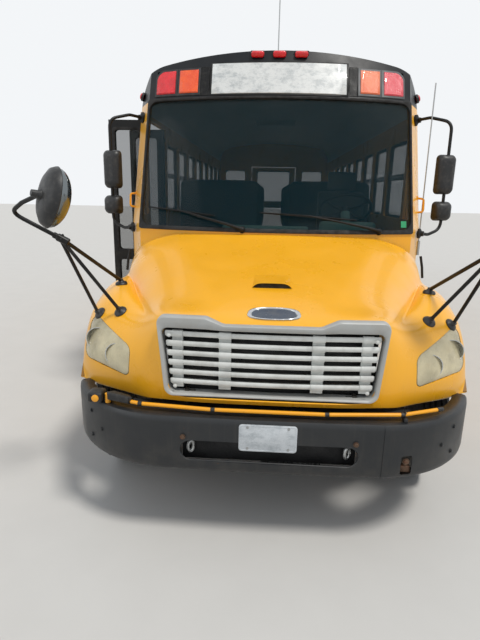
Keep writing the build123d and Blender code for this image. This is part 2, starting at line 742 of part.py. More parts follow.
def nose_section(station, inset):
    """One closed outline across the nose, set in by a distance."""
    d, side_x, side_z, crease_x, crease_z, center_z = station
    with BuildSketch(Plane.XZ.offset(-back(d))) as section:
        with BuildLine():
            foot = (side_x - inset, hood_bottom_z - 300)
            shoulder = (side_x - inset, side_z - inset)
            crease = (crease_x - inset * 0.3, crease_z - inset)
            mid = ((shoulder[0] + crease[0]) / 2 + 30, (shoulder[1] + crease[1]) / 2 + 30)
            Line((-foot[0], foot[1]), foot)
            Line(foot, shoulder)
            ThreePointArc(shoulder, mid, crease)
            ThreePointArc(crease, (0, center_z - inset), (-crease[0], crease[1]))
            ThreePointArc((-crease[0], crease[1]), (-mid[0], mid[1]), (-shoulder[0], shoulder[1]))
            Line((-shoulder[0], shoulder[1]), (-foot[0], foot[1]))
        make_face()
    return section.sketch


def nose_solid(inset):
    """Smooth nose through the stations, set in by a distance."""
    with BuildPart() as nose:
        loft(sections=[nose_section(station, inset) for station in nose_stations])
    return nose.part


def fender_solid(inset):
    """Both front fenders as the overlap of their side, plan and front outlines."""
    top_z = 1330 - inset
    with BuildPart() as fenders:
        # plan outline: across the front, round the headlamps and back along the sides
        with BuildSketch(Plane.XY.offset(500)) as plan:
            with BuildLine():
                a = (560, back(115 + inset))
                b = (1170 - inset * 0.7, back(510 + inset))
                c = (half_width - 3 - inset, back(760))
                e = (c[0], back(1700))
                Line((-a[0], a[1]), a)
                ThreePointArc(a, (905 - inset * 0.5, back(262 + inset)), b)
                ThreePointArc(b, (1203 - inset, back(620)), c)
                Line(c, e)
                Line(e, (-e[0], e[1]))
                Line((-e[0], e[1]), (-c[0], c[1]))
                ThreePointArc((-c[0], c[1]), (-1203 + inset, back(620)), (-b[0], b[1]))
                ThreePointArc((-b[0], b[1]), (-905 + inset * 0.5, back(262 + inset)), (-a[0], a[1]))
            make_face()
        extrude(plan.sketch, amount=900)
        # side outline: rounded brow over the headlamps
        with BuildSketch(Plane.YZ.offset(-body_width)) as side:
            with BuildLine():
                Line((back(60), 500), (back(90 + inset), 900))
                ThreePointArc((back(90 + inset), 900), (back(420 + inset), 1205 - inset),
                              (back(960), top_z))
                Line((back(960), top_z), (back(1700), top_z - 10))
                Line((back(1700), top_z - 10), (back(1700), 500))
                Line((back(1700), 500), (back(60), 500))
            make_face()
        extrude(side.sketch, amount=2 * body_width, mode=Mode.INTERSECT)
        # front outline: large round shoulder at the outside
        with BuildSketch(Plane.XZ.offset(-back(0))) as front:
            with BuildLine():
                s = (half_width - inset, 1060)
                t = (1010 - inset * 0.5, top_z)
                Line((-s[0], 500), (s[0], 500))
                Line((s[0], 500), s)
                ThreePointArc(s, (1168 - inset * 0.8, 1245 - inset * 0.6), t)
                Line(t, (-t[0], t[1]))
                ThreePointArc((-t[0], t[1]), (-1168 + inset * 0.8, 1245 - inset * 0.6), (-s[0], s[1]))
                Line((-s[0], s[1]), (-s[0], 500))
            make_face()
        extrude(front.sketch, amount=-2000, mode=Mode.INTERSECT)
    return fenders.part


# Headlamp outline, as (x, height) corners of the left lamp
lamp_corners = [(800, 905), (780, 990), (815, 1060), (1140, 1170), (1190, 1110), (1190, 985), (1120, 905)]
lamp_reach = 640
with BuildPart() as lamp_windows:
    for side in (-1, 1):
        with BuildSketch(Plane.XZ.offset(-back(0))) as lamp_window:
            with BuildLine():
                Polyline(*[(side * x, z) for x, z in lamp_corners], close=True)
            make_face()
        extrude(lamp_window.sketch, amount=-lamp_reach)

# Hood: its outer form, what is cut from it, and the finished shell
with BuildPart() as hood_form:
    add(nose_solid(0))
    add(fender_solid(0))
with BuildPart() as hood_inside:
    add(nose_solid(hood_skin))
    add(fender_solid(hood_skin))
with BuildPart() as body_line:
    extrude(front_plan(hood_rear_gap, 0), amount=2000)
    add_box((-body_width, body_width), (windshield_corner_d - hood_rear_gap, 2500), (0, 2000))
# what lies behind an arc about the tilt axis, so that the lower rear edge swings clear of the body
swing_radius = windshield_corner_d - hood_rear_gap - tilt_axis_d
with BuildPart() as behind_swing:
    with BuildSketch(Plane.YZ.offset(-body_width)) as swing:
        with Locations((back(tilt_axis_d + 1000), tilt_axis_z - 1000)):
            Rectangle(2000, 2000)
        with Locations((back(tilt_axis_d), tilt_axis_z)):
            Circle(swing_radius, mode=Mode.SUBTRACT)
    extrude(swing.sketch, amount=2 * body_width)
arch_inner_x = 640
grille_top_z = 1235
grille_bottom_z = 880
grille_half = 560
with BuildPart() as hood:
    add(hood_form.part)
    add(hood_inside.part, mode=Mode.SUBTRACT)
    # bottom edge, lower behind the wheels
    add_side_prism([(0, 0), (0, hood_bottom_z), (hood_front_d, hood_bottom_z), (330, fender_bottom_z),
                    (800, fender_bottom_z), (800, 700), (2500, 700), (2500, 0)],
                   -body_width, body_width, mode=Mode.SUBTRACT)
    add(body_line.part, mode=Mode.SUBTRACT)
    add(behind_swing.part, mode=Mode.SUBTRACT)
    # wheel arches
    for side in (-1, 1):
        with BuildSketch(Plane.YZ.offset(side * arch_inner_x)) as arch:
            with Locations((back(front_axle_d), tyre_radius)):
                Circle(arch_radius)
        extrude(arch.sketch, amount=side * 700, mode=Mode.SUBTRACT)
    # openings of the grille and the headlamps
    add_box((-grille_half, grille_half), (0, 260), (grille_bottom_z, grille_top_z), mode=Mode.SUBTRACT)
    add(lamp_windows.part, mode=Mode.SUBTRACT)
    # arms down to the tilt pins
    for side in (-1, 1):
        add_box((side * (rail_x - 25), side * (rail_x + 7)), (tilt_axis_d - 30, tilt_axis_d + 20),
                (tilt_axis_z - 20, tilt_axis_z + 14))
        with Locations(Location((side * (rail_x - 9), back(tilt_axis_d), tilt_axis_z), (0, 90, 0))):
            Cylinder(tilt_pin_radius + pin_gap, 80, mode=Mode.SUBTRACT)
finish(hood, "hood")

# Grille: surround, six bars and two straps
bar_count = 6
bar_height = 26
bar_d = (112, 150)
strap_x = (225, 262)
strap_d = (108, 155)
surround_d = 100
surround_depth = 60
surround_fit = 1
surround_round = 40
surround_side = 90
surround_edge = 45
opening_round = 25
grille_height = grille_top_z - grille_bottom_z
bar_pitch = (grille_height - 2 * surround_edge) / (bar_count + 1)
with BuildPart() as grille:
    with BuildSketch(Plane.XZ.offset(-back(surround_d))) as surround:
        with Locations((0, (grille_top_z + grille_bottom_z) / 2)):
            RectangleRounded(2 * grille_half - surround_fit, grille_height - surround_fit, surround_round)
            RectangleRounded(2 * (grille_half - surround_side), grille_height - 2 * surround_edge,
                             opening_round, mode=Mode.SUBTRACT)
    extrude(surround.sketch, amount=-surround_depth)
    for i in range(bar_count):
        z = grille_bottom_z + surround_edge + (i + 1) * bar_pitch
        add_box((-grille_half + 60, grille_half - 60), bar_d, (z - bar_height / 2, z + bar_height / 2))
    for side in (-1, 1):
        add_box((side * strap_x[0], side * strap_x[1]), strap_d, (grille_bottom_z + 20, grille_top_z - 20))
finish(grille, "grille")

# Headlamps, set in the fenders' front
lens_proud = 2
lamp_depth = 45
with BuildPart() as headlamps:
    add(fender_solid(-lens_proud))
    add(fender_solid(lamp_depth), mode=Mode.SUBTRACT)
    add(lamp_windows.part, mode=Mode.INTERSECT)
finish(headlamps, "headlamps")

# Crossview mirrors: a domed head on an elbowed tube, with three legs from its clamp
# the head is a ball cut by a box behind it; places are (x, distance, height) of the left one
mirror_d = 190
head_lean = 50
head_radius = 150
head_place = (1100, mirror_d, 1890)
head_cut = (120, 400, 400)
head_cut_place = (1040, mirror_d, 1840)
clamp_place = (1180, 330, 1640)
elbow_place = (1500, 420, 1790)
stem_place = (1240, mirror_d, 1905)
leg_feet = [(1025, 880, 1345), (930, 540, 1180), (1075, 620, 1180)]
stem_radius = 11
leg_radius = 10
elbow_bend = 40


def placed(place, side):
    """A point of the left side's table, mirrored for the right side."""
    x, d, z = place
    return (side * x, back(d), z)


with BuildPart() as crossview_mirrors:
    for side in (-1, 1):
        clamp = placed(clamp_place, side)
        add_tube([clamp, placed(elbow_place, side), placed(stem_place, side)], stem_radius, elbow_bend)
        for foot in leg_feet:
            add_tube([clamp, placed(foot, side)], leg_radius, leg_radius)
        with Locations(Location(placed(head_place, side), (0, side * head_lean, 0))):
            Sphere(head_radius)
        with Locations(Location(placed(head_cut_place, side), (0, side * head_lean, 0))):
            Box(*head_cut, mode=Mode.SUBTRACT)
    add(hood_form.part, mode=Mode.SUBTRACT)
finish(crossview_mirrors, "crossview_mirrors")

# Side mirrors: looped arms with a flat and a convex head each side
arm_x = half_width + 161
head_x = (arm_x - 92, arm_x + 80)
head_d = (1880, 1945)
head_zs = [(1940, 2260), (1730, 1890)]
with BuildPart() as side_mirrors:
    for side in (-1, 1):
        add_tube([(side * 1165, back(2190), 2540), (side * arm_x, back(1900), 2480),
                  (side * arm_x, back(1890), 1655), (side * 1190, back(1790), 1625)], 12, 60)
        for z0, z1 in head_zs:
            add_box((side * head_x[0], side * head_x[1]), head_d, (z0, z1))
    add(outer_body, mode=Mode.SUBTRACT)
finish(side_mirrors, "side_mirrors")

# Lamps
marker_xs = (-173, 0, 173)
marker_size = (110, 65, 58)
marker_d = 2182.5
side_marker_radius = 28
rear_lamps = {"red": [(900, 2640, 90), (980, 1250, 90)], "amber": [(690, 2640, 90), (760, 1250, 70)]}
rear_lamp_height = 20


def add_rear_lamps(color):
    """Round lamps of one colour on both sides of the rear wall."""
    for side in (-1, 1):
        for x, z, radius in rear_lamps[color]:
            with Locations(Location((side * x, back(rear_face + rear_lamp_height / 2), z), (90, 0, 0))):
                Cylinder(radius, rear_lamp_height)


with BuildPart() as lamps_red:
    for x in marker_xs:
        with Locations((x, back(marker_d), roof_z + 21)):
            Box(*marker_size)
    for side in (-1, 1):
        with Locations(Location((side * (half_width - 15), back(2290), 2735), (0, 90, 0))):
            Cylinder(side_marker_radius, 2 * side_marker_radius)
    add(front_cap.part, mode=Mode.SUBTRACT)
    add(roof.part, mode=Mode.SUBTRACT)
    add(inner_body, mode=Mode.SUBTRACT)
    for panel in red_panels:
        add(panel)
    add_rear_lamps("red")
finish(lamps_red, "lamps_red")

with BuildPart() as lamps_amber:
    for panel in amber_panels:
        add(panel)
    add_rear_lamps("amber")
finish(lamps_amber, "lamps_amber")

# Wipers and aerials
wiper_radius = 9
wiper_pivot_z = windshield_foot_z - 12
wiper_tip_rise = 130
blade_rise = (160, 100)
blade_reach = (-330, 250)
windshield_bow = windshield_corner_d - windshield_center_d


def glass_place(x, rise, proud):
    """A point in front of the windshield, some way up from its foot."""
    d = windshield_center_d + windshield_bow * (x / windshield_corner_x)**2
    return (x, back(d + rake * rise - proud), windshield_foot_z + rise)


with BuildPart() as wipers:
    for pivot_x, tip_x in ((-240, -600), (800, 300)):
        pivot_d = windshield_center_d + windshield_bow * (pivot_x / windshield_corner_x)**2 - 12
        add_tube([(pivot_x, back(pivot_d), wiper_pivot_z), glass_place(tip_x, wiper_tip_rise, 22)],
                 wiper_radius, wiper_radius)
        add_tube([glass_place(tip_x + blade_reach[0], blade_rise[0], 20),
                  glass_place(tip_x + blade_reach[1], blade_rise[1], 30)], wiper_radius, wiper_radius)
    add(outer_body, mode=Mode.SUBTRACT)
finish(wipers, "wipers")

whip_radius = 5
roof_whip_place = (-10, 2420)
roof_whip_height = 560
roof_base = (32, 30)
side_base = (14, 120)
side_whip_d = 1935
side_whip_z = (1500, 2790)
side_whip_x = half_width + side_base[0] + glass_gap
with BuildPart() as antennas:
    with Locations((roof_whip_place[0], back(roof_whip_place[1]), roof_z + 10)):
        Cylinder(*roof_base)
    add_tube([(roof_whip_place[0], back(roof_whip_place[1]), roof_z),
              (roof_whip_place[0], back(roof_whip_place[1]), roof_z + roof_whip_height)],
             whip_radius, whip_radius)
    add(outer_body, mode=Mode.SUBTRACT)
    with Locations((side_whip_x, back(side_whip_d), side_whip_z[0])):
        Cylinder(*side_base)
    add_tube([(side_whip_x, back(side_whip_d), z) for z in side_whip_z], whip_radius, whip_radius)
finish(antennas, "antennas")

# Dashboard, driver's seat and steering wheel
wheel_center = (640, back(2230), 1800)
wheel_lean = -35
wheel_rim = (228, 15)
spoke_size = (440, 30, 16)
column_start = 40
column_size = (42, 420)
dash_x = (-560, 1190)
dash_outline = [(firewall_d, floor_z), (firewall_d + 40, floor_z), (firewall_d + 140, 1330),
                (firewall_d + 330, 1380), (firewall_d + 330, 1560), (firewall_d + 60, 1640),
                (firewall_d, 1640)]
with BuildPart() as dashboard:
    add_side_prism(dash_outline, *dash_x)
    with Locations(Location(wheel_center, (wheel_lean, 0, 0))):
        with Locations((0, 0, -column_start)):
            Cylinder(*column_size, align=(Align.CENTER, Align.CENTER, Align.MAX))
    add(inner_body, mode=Mode.INTERSECT)
finish(dashboard, "dashboard")

with BuildPart() as steering_wheel:
    with Locations(Location(wheel_center, (wheel_lean, 0, 0))):
        Torus(*wheel_rim)
        Box(*spoke_size)
        Cylinder(45, 2 * (column_start - pin_gap))
finish(steering_wheel, "steering_wheel")

seat_x = 700
seat_base = (150, (2620, 2960), (floor_z, 1410))
seat_cushion = (250, (2560, 3020), (1400, 1520))
seat_back = (240, (2960, 3080), (1500, 2160))
with BuildPart() as driver_seat:
    for half, d, z in (seat_base, seat_cushion, seat_back):
        add_box((seat_x - half, seat_x + half), d, z)
finish(driver_seat, "driver_seat")


def bench_rows(side):
    """Padded benches with their backs, and a padded barrier ahead of the first row."""
    x0 = side * (inner_x - 25)
    x1 = side * (inner_x - 25 - bench_width)
    back_ds = [first_back_d + i * row_pitch for i in range(row_count)]
    for d in back_ds:
        add_side_prism([(d - bench_depth, floor_z + cushion_top - cushion_thickness),
                        (d - bench_depth, floor_z + cushion_top - 20), (d, floor_z + cushion_top),
                        (d + back_lean, floor_z + back_height),
                        (d + back_lean + back_thickness, floor_z + back_height),
                        (d + back_thickness, floor_z + cushion_top - cushion_thickness)],
                       min(x0, x1), max(x0, x1))


def bench_legs(side):
    """Floor legs and wall bracket under each bench."""
    x_aisle = side * (inner_x - 25 - bench_width + 60)
    x_wall = side * (inner_x - 25)
    for i in range(row_count):
        d = first_back_d + i * row_pitch
        for near, far in ((d - 340, d - 310), (d + 20, d + 50)):
            add_box((x_aisle, x_aisle + side * 30), (near, far),
                    (floor_z, floor_z + cushion_top - cushion_thickness))
        add_box((x_aisle, x_wall), (d - 340, d + 50),
                (floor_z + cushion_top - cushion_thickness - 30, floor_z + cushion_top - cushion_thickness))


with BuildPart() as seats_left:
    bench_rows(1)
finish(seats_left, "seats_left")
with BuildPart() as seats_right:
    bench_rows(-1)
finish(seats_right, "seats_right")
with BuildPart() as seat_legs_left:
    bench_legs(1)
finish(seat_legs_left, "seat_legs_left")
with BuildPart() as seat_legs_right:
    bench_legs(-1)
finish(seat_legs_right, "seat_legs_right")

# Entrance door leaves, standing open
leaf_frame = 45
pane_bands = [(door_bottom_z + 420, door_bottom_z + 900), (door_bottom_z + 980, door_top_z - 80)]
for name, pivot_d in leaf_pivots.items():
    with BuildPart() as leaf:
        add_box((-leaf_pivot_x - leaf_length, -leaf_pivot_x),
                (pivot_d - leaf_thickness / 2, pivot_d + leaf_thickness / 2),
                (door_bottom_z, door_top_z - 5))
        with Locations((-leaf_pivot_x, back(pivot_d), (door_bottom_z + door_top_z - 5) / 2)):
            Cylinder(leaf_thickness / 2, door_top_z - 5 - door_bottom_z)
        for z0, z1 in pane_bands:
            add_box((-leaf_pivot_x - leaf_length + leaf_frame, -leaf_pivot_x - leaf_frame),
                    (pivot_d - 50, pivot_d + 50), (z0, z1), mode=Mode.SUBTRACT)
        with Locations((-leaf_pivot_x, back(pivot_d), door_top_z - 6)):
            Cylinder(leaf_pin_radius, 26, align=(Align.CENTER, Align.CENTER, Align.MIN))
    finish(leaf, "entry_door_" + name)
    with BuildPart() as leaf_glass:
        for z0, z1 in pane_bands:
            add_box((-leaf_pivot_x - leaf_length + leaf_frame, -leaf_pivot_x - leaf_frame),
                    (pivot_d - 3, pivot_d + 3), (z0, z1))
    finish(leaf_glass, "entry_glass_" + name)

# Rear emergency door
rear_gap = 6
with BuildPart() as rear_door:
    add_box((-rear_door_width / 2 + rear_gap, rear_door_width / 2 - rear_gap),
            (rear_wall_d + 6, rear_wall_d + rear_wall_thickness),
            (rear_door_bottom_z + rear_gap, rear_door_top_z - rear_gap))
    for z0, z1 in rear_door_pane_zs:
        add_box((-rear_door_pane_x, rear_door_pane_x), (rear_wall_d, rear_wall_d + 2 * wall), (z0, z1),
                mode=Mode.SUBTRACT)
    for z in rear_hinge_zs:
        add_box((-rear_hinge_x, -rear_hinge_x + 45), (hinge_d - rear_hinge_proud, hinge_d + 4),
                (z - 30.7, z + 30.7))
        with Locations((-rear_hinge_x, back(hinge_d), z)):
            Cylinder(2 * door_pin_radius, 61.4)
            Cylinder(door_pin_radius + pin_gap, 100, mode=Mode.SUBTRACT)
finish(rear_door, "rear_door")
with BuildPart() as rear_door_glass:
    for z0, z1 in rear_door_pane_zs:
        add_box((-rear_door_pane_x, rear_door_pane_x), rear_pane_d, (z0, z1))
finish(rear_door_glass, "rear_door_glass")

# Folding stop arm on the left side, crossing arm on the front bumper, roof hatch
stop_radius = 225
stop_plate = 14
stop_reach = 330
with BuildPart() as stop_arm:
    with BuildSketch(Plane.YZ.offset(half_width + rail_proud + 6)) as plate:
        with Locations((back(stop_d + stop_reach), stop_z)):
            RegularPolygon(stop_radius, 8, rotation=22.5)
    extrude(plate.sketch, amount=stop_plate)
    add_box((half_width + 10, half_width + 30), (stop_d + 6, stop_d + 140), (stop_z - 70, stop_z + 70))
    with Locations((pin_x, back(stop_d), stop_z)):
        Cylinder(2 * arm_pin_radius, 160 - 2 * pin_gap)
        Cylinder(arm_pin_radius + pin_gap, 200, mode=Mode.SUBTRACT)
finish(stop_arm, "stop_arm")

crossing_rod_radius = 11
crossing_barrel = (16, 52)
crossing_places = [(-arm_pivot_x, arm_pivot_d), (-700, 80), (-300, 42), (300, 42), (700, 80), (930, 175)]
with BuildPart() as crossing_arm:
    add_tube([(x, back(d), arm_z) for x, d in crossing_places], crossing_rod_radius, 300)
    with Locations((-arm_pivot_x, back(arm_pivot_d), bumper_top_z + pin_gap)):
        Cylinder(*crossing_barrel, align=(Align.CENTER, Align.CENTER, Align.MIN))
    with Locations((-arm_pivot_x, back(arm_pivot_d), arm_z)):
        Cylinder(arm_pin_radius + pin_gap, 2 * crossing_barrel[1], mode=Mode.SUBTRACT)
finish(crossing_arm, "crossing_arm")

with BuildPart() as roof_hatch:
    add_box((-hatch_size / 2 - hatch_rim, hatch_size / 2 + hatch_rim),
            (hatch_d - hatch_rim, hatch_d + hatch_size + hatch_rim),
            (roof_z + coaming + pin_gap, roof_z + coaming + pin_gap + lid_thickness))
    for x in hatch_hinge_xs:
        with Locations(Location((x, back(hatch_pin_d), hatch_pin_z), (0, 90, 0))):
            Cylinder(2 * arm_pin_radius, 50)
        add_box((x - 25, x + 25), (hatch_pin_d, hatch_d - hatch_rim + 10), (hatch_pin_z - 8, hatch_pin_z + 8))
        with Locations(Location((x, back(hatch_pin_d), hatch_pin_z), (0, 90, 0))):
            Cylinder(arm_pin_radius + pin_gap, 70, mode=Mode.SUBTRACT)
finish(roof_hatch, "roof_hatch")


# Steering knuckles with their kingpins and stub axles
hub_radius = 95
fork_half = eye_half + 34
for name, side in (("left", 1), ("right", -1)):
    with BuildPart() as knuckle:
        with Locations((side * kingpin_x, back(front_axle_d), tyre_radius)):
            Cylinder(pin_radius, 2 * fork_half)
        for z in (-1, 1):
            z0 = tyre_radius + z * (eye_half + 2)
            add_box((side * (kingpin_x - 32), side * (kingpin_x + 75)),
                    (front_axle_d - 45, front_axle_d + 45), (z0, z0 + z * 32))
        add_box((side * (kingpin_x + 56), side * (kingpin_x + 75)),
                (front_axle_d - 45, front_axle_d + 45), (tyre_radius - fork_half, tyre_radius + fork_half))
        with Locations(Location((side * (kingpin_x + 100), back(front_axle_d), tyre_radius), (0, 90, 0))):
            Cylinder(stub_radius, 100)
    finish(knuckle, "knuckle_" + name)


def add_tyre(center_x, axle_d):
    """One tyre with a hollow bead, turned about its axle."""
    half = tyre_width / 2
    with BuildSketch(Plane.XZ.offset(-back(axle_d))) as profile:
        with BuildLine():
            shoulder = tyre_radius - 35
            inner = rim_radius
            left = center_x - half
            right = center_x + half
            Line((left + 25, tyre_radius + inner), (right - 25, tyre_radius + inner))
            ThreePointArc((right - 25, tyre_radius + inner), (right, tyre_radius + (inner + shoulder) / 2),
                          (right - 8, tyre_radius + shoulder))
            Line((right - 8, tyre_radius + shoulder), (right - 30, 2 * tyre_radius))
            Line((right - 30, 2 * tyre_radius), (left + 30, 2 * tyre_radius))
            Line((left + 30, 2 * tyre_radius), (left + 8, tyre_radius + shoulder))
            ThreePointArc((left + 8, tyre_radius + shoulder), (left, tyre_radius + (inner + shoulder) / 2),
                          (left + 25, tyre_radius + inner))
        make_face()
    axle = Axis((0, back(axle_d), tyre_radius), (1, 0, 0))
    revolve(profile.sketch, axis=axle)


def add_rim(center_x, axle_d, side, dish):
    """One steel rim with its disc and hub, turned about its axle."""
    half = tyre_width / 2
    disc_x = center_x + side * dish
    bore = stub_radius + pin_gap
    with BuildSketch(Plane.XZ.offset(-back(axle_d))) as profile:
        with BuildLine():
            r0 = tyre_radius + bore
            r1 = tyre_radius + rim_radius - 0.3
            a = center_x - side * (half - 25)
            b = center_x + side * (half - 25)
            Polyline((a, r1), (b, r1), (b, r1 - 22), (disc_x + side * 12, r1 - 30),
                     (disc_x + side * 12, r0), (disc_x - side * 12, r0),
                     (disc_x - side * 12, r1 - 30), (a, r1 - 22), close=True)
        make_face()
    axle = Axis((0, back(axle_d), tyre_radius), (1, 0, 0))
    revolve(profile.sketch, axis=axle)


twin_dish = (rear_outer_x - rear_inner_x) / 2 - 12
for name, side in (("left", 1), ("right", -1)):
    with BuildPart() as tyre:
        add_tyre(side * front_wheel_x, front_axle_d)
    finish(tyre, "front_tyre_" + name)
    with BuildPart() as rim:
        add_rim(side * front_wheel_x, front_axle_d, side, 60)
        with Locations(Location((side * (front_wheel_x + 70), back(front_axle_d), tyre_radius), (0, 90, 0))):
            Cylinder(hub_radius, 110)
            Cylinder(stub_radius + pin_gap, 60 + 2 * stub_radius, align=(Align.CENTER, Align.CENTER,
                     Align.MAX if side == 1 else Align.MIN), mode=Mode.SUBTRACT)
    finish(rim, "front_rim_" + name)
    with BuildPart() as tyres:
        add_tyre(side * rear_outer_x, rear_axle_d)
        add_tyre(side * rear_inner_x, rear_axle_d)
    finish(tyres, "rear_tyres_" + name)
    with BuildPart() as rims:
        add_rim(side * rear_outer_x, rear_axle_d, side, -twin_dish)
        add_rim(side * rear_inner_x, rear_axle_d, side, twin_dish)
        hub_x = (rear_outer_x + rear_inner_x) / 2
        with Locations(Location((side * hub_x, back(rear_axle_d), tyre_radius), (0, 90, 0))):
            Cylinder(hub_radius, 240)
            Cylinder(stub_radius + pin_gap, 300, mode=Mode.SUBTRACT)
        with Locations(Location((side * (hub_x + 130), back(rear_axle_d), tyre_radius), (0, 90, 0))):
            Cylinder(hub_radius, 20)
    finish(rims, "rear_rims_" + name)
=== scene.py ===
import math

import bmesh
import bpy
from mathutils import Matrix, Vector
from mathutils.bvhtree import BVHTree


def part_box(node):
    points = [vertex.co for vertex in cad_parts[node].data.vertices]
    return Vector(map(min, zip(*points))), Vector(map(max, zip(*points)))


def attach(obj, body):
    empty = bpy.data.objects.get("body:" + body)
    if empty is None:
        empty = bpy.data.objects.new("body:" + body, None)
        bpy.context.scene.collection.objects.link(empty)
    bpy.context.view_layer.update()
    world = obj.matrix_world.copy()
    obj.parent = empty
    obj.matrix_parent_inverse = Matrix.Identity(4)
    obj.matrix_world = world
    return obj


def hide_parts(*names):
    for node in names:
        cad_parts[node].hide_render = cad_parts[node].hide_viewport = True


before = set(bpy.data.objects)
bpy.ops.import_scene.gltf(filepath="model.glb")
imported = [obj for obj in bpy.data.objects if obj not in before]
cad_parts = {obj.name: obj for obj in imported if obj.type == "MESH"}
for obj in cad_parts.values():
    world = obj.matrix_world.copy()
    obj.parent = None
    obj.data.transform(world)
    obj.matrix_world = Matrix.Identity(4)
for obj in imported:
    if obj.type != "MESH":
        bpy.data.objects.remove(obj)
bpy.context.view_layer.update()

# Sizes and places, in metres. Distances behind the front bumper's face turn into Y with back().
front_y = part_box("front_bumper")[0].y
rear_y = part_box("rear_wall")[1].y
half_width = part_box("side_left")[1].x
tyre_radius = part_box("front_tyre_left")[1].z / 2
front_axle_d = sum(corner.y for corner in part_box("front_tyre_left")) / 2 - front_y
rear_axle_d = sum(corner.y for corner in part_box("rear_tyres_left")) / 2 - front_y
arch_radius = 0.56
windshield_foot_z = 1.65
windshield_top_z = 2.655
rake = 0.426
windshield_center_d = 1.389
windshield_corner_x = 1.077
windshield_corner_d = 1.607
sides = {"left": 1, "right": -1}


def back(distance):
    """Y of a point that lies this far behind the front bumper's face."""
    return front_y + distance


def at(x, distance, z):
    """A point from its side, its distance behind the bumper's face and its height."""
    return Vector((x, back(distance), z))


# Materials


def srgb(red, green, blue):
    """Linear colour of three 8-bit screen values."""
    values = [value / 255 for value in (red, green, blue)]
    return (*[v / 12.92 if v <= 0.04045 else ((v + 0.055) / 1.055) ** 2.4 for v in values], 1.0)


def scaled(color, factor):
    """A colour made lighter or darker."""
    return (*[min(1.0, c * factor) for c in color[:3]], 1.0)


class Finish:
    """One material, with its nodes laid out from the object's own coordinates."""

    def __init__(self, name, roughness=0.5, metallic=0.0, **sockets):
        self.material = bpy.data.materials.new(name)
        self.material.use_nodes = True
        self.tree = self.material.node_tree
        self.tree.nodes.clear()
        self.place = self.node("ShaderNodeTexCoord").outputs["Object"]
        self.shader = self.node("ShaderNodeBsdfPrincipled", Roughness=roughness, Metallic=metallic, **sockets)
        self.node("ShaderNodeOutputMaterial", Surface=self.shader.outputs[0])
        self.height = None

    def plug(self, socket, value):
        if isinstance(value, bpy.types.NodeSocket):
            self.tree.links.new(value, socket)
        else:
            socket.default_value = value

    def node(self, kind, settings=(), **sockets):
        """A new node, with a value or a link for each of its named sockets."""
        made = self.tree.nodes.new(kind)
        for key, value in dict(settings).items():
            setattr(made, key, value)
        for key, value in sockets.items():
            self.plug(made.inputs[key.replace("_", " ")], value)
        return made

    def stretched(self, stretch=(1, 1, 1)):
        return self.node("ShaderNodeMapping", Vector=self.place, Scale=stretch).outputs[0]

    def noise(self, scale, detail=3.0, roughness=0.55, stretch=(1, 1, 1)):
        return self.node("ShaderNodeTexNoise", Vector=self.stretched(stretch), Scale=scale, Detail=detail,
                         Roughness=roughness).outputs["Fac"]

    def cells(self, scale, feature="F1"):
        return self.node("ShaderNodeTexVoronoi", {"feature": feature}, Vector=self.stretched(),
                         Scale=scale).outputs["Distance"]

    def waves(self, scale, direction):
        return self.node("ShaderNodeTexWave", {"bands_direction": direction}, Vector=self.place,
                         Scale=scale).outputs["Fac"]

    def spread(self, value, low, high, out_low=0.0, out_high=1.0):
        """Value from low to high turned into out_low to out_high, and held there beyond."""
        return self.node("ShaderNodeMapRange", {"interpolation_type": "SMOOTHSTEP"}, Value=value,
                         From_Min=low, From_Max=high, To_Min=out_low, To_Max=out_high).outputs["Result"]

    def times(self, a, b):
        made = self.node("ShaderNodeMath", {"operation": "MULTIPLY"})
        self.plug(made.inputs[0], a)
        self.plug(made.inputs[1], b)
        return made.outputs[0]

    def mix(self, factor, a, b):
        return self.node("ShaderNodeMix", {"data_type": "RGBA"}, Factor=factor, A=a, B=b).outputs["Result"]

    def height_z(self):
        made = self.node("ShaderNodeSeparateXYZ", Vector=self.place)
        return made.outputs["Z"]

    def mottled(self, color, low, high, scale, detail=3.0, roughness=0.55):
        """A colour that wanders between two brightnesses."""
        return self.mix(self.noise(scale, detail, roughness), scaled(color, low), scaled(color, high))

    def film(self, base, cover, noise, low, high, amount):
        """A thin cover over a colour, where the noise is high."""
        return self.mix(self.spread(self.noise(*noise), low, high, 0.0, amount), base, cover)

    def color(self, value):
        self.plug(self.shader.inputs["Base Color"], value)

    def rough(self, scale, detail, low, high, smooth, dull):
        """Roughness from smooth to dull, in patches."""
        self.plug(self.shader.inputs["Roughness"],
                  self.spread(self.noise(scale, detail), low, high, smooth, dull))

    def bump(self, height, strength, distance):
        made = self.node("ShaderNodeBump", Strength=strength, Distance=distance, Height=height)
        if self.height is not None:
            self.plug(made.inputs["Normal"], self.height)
        self.height = made.outputs[0]
        self.plug(self.shader.inputs["Normal"], self.height)


road_dust = srgb(150, 138, 120)


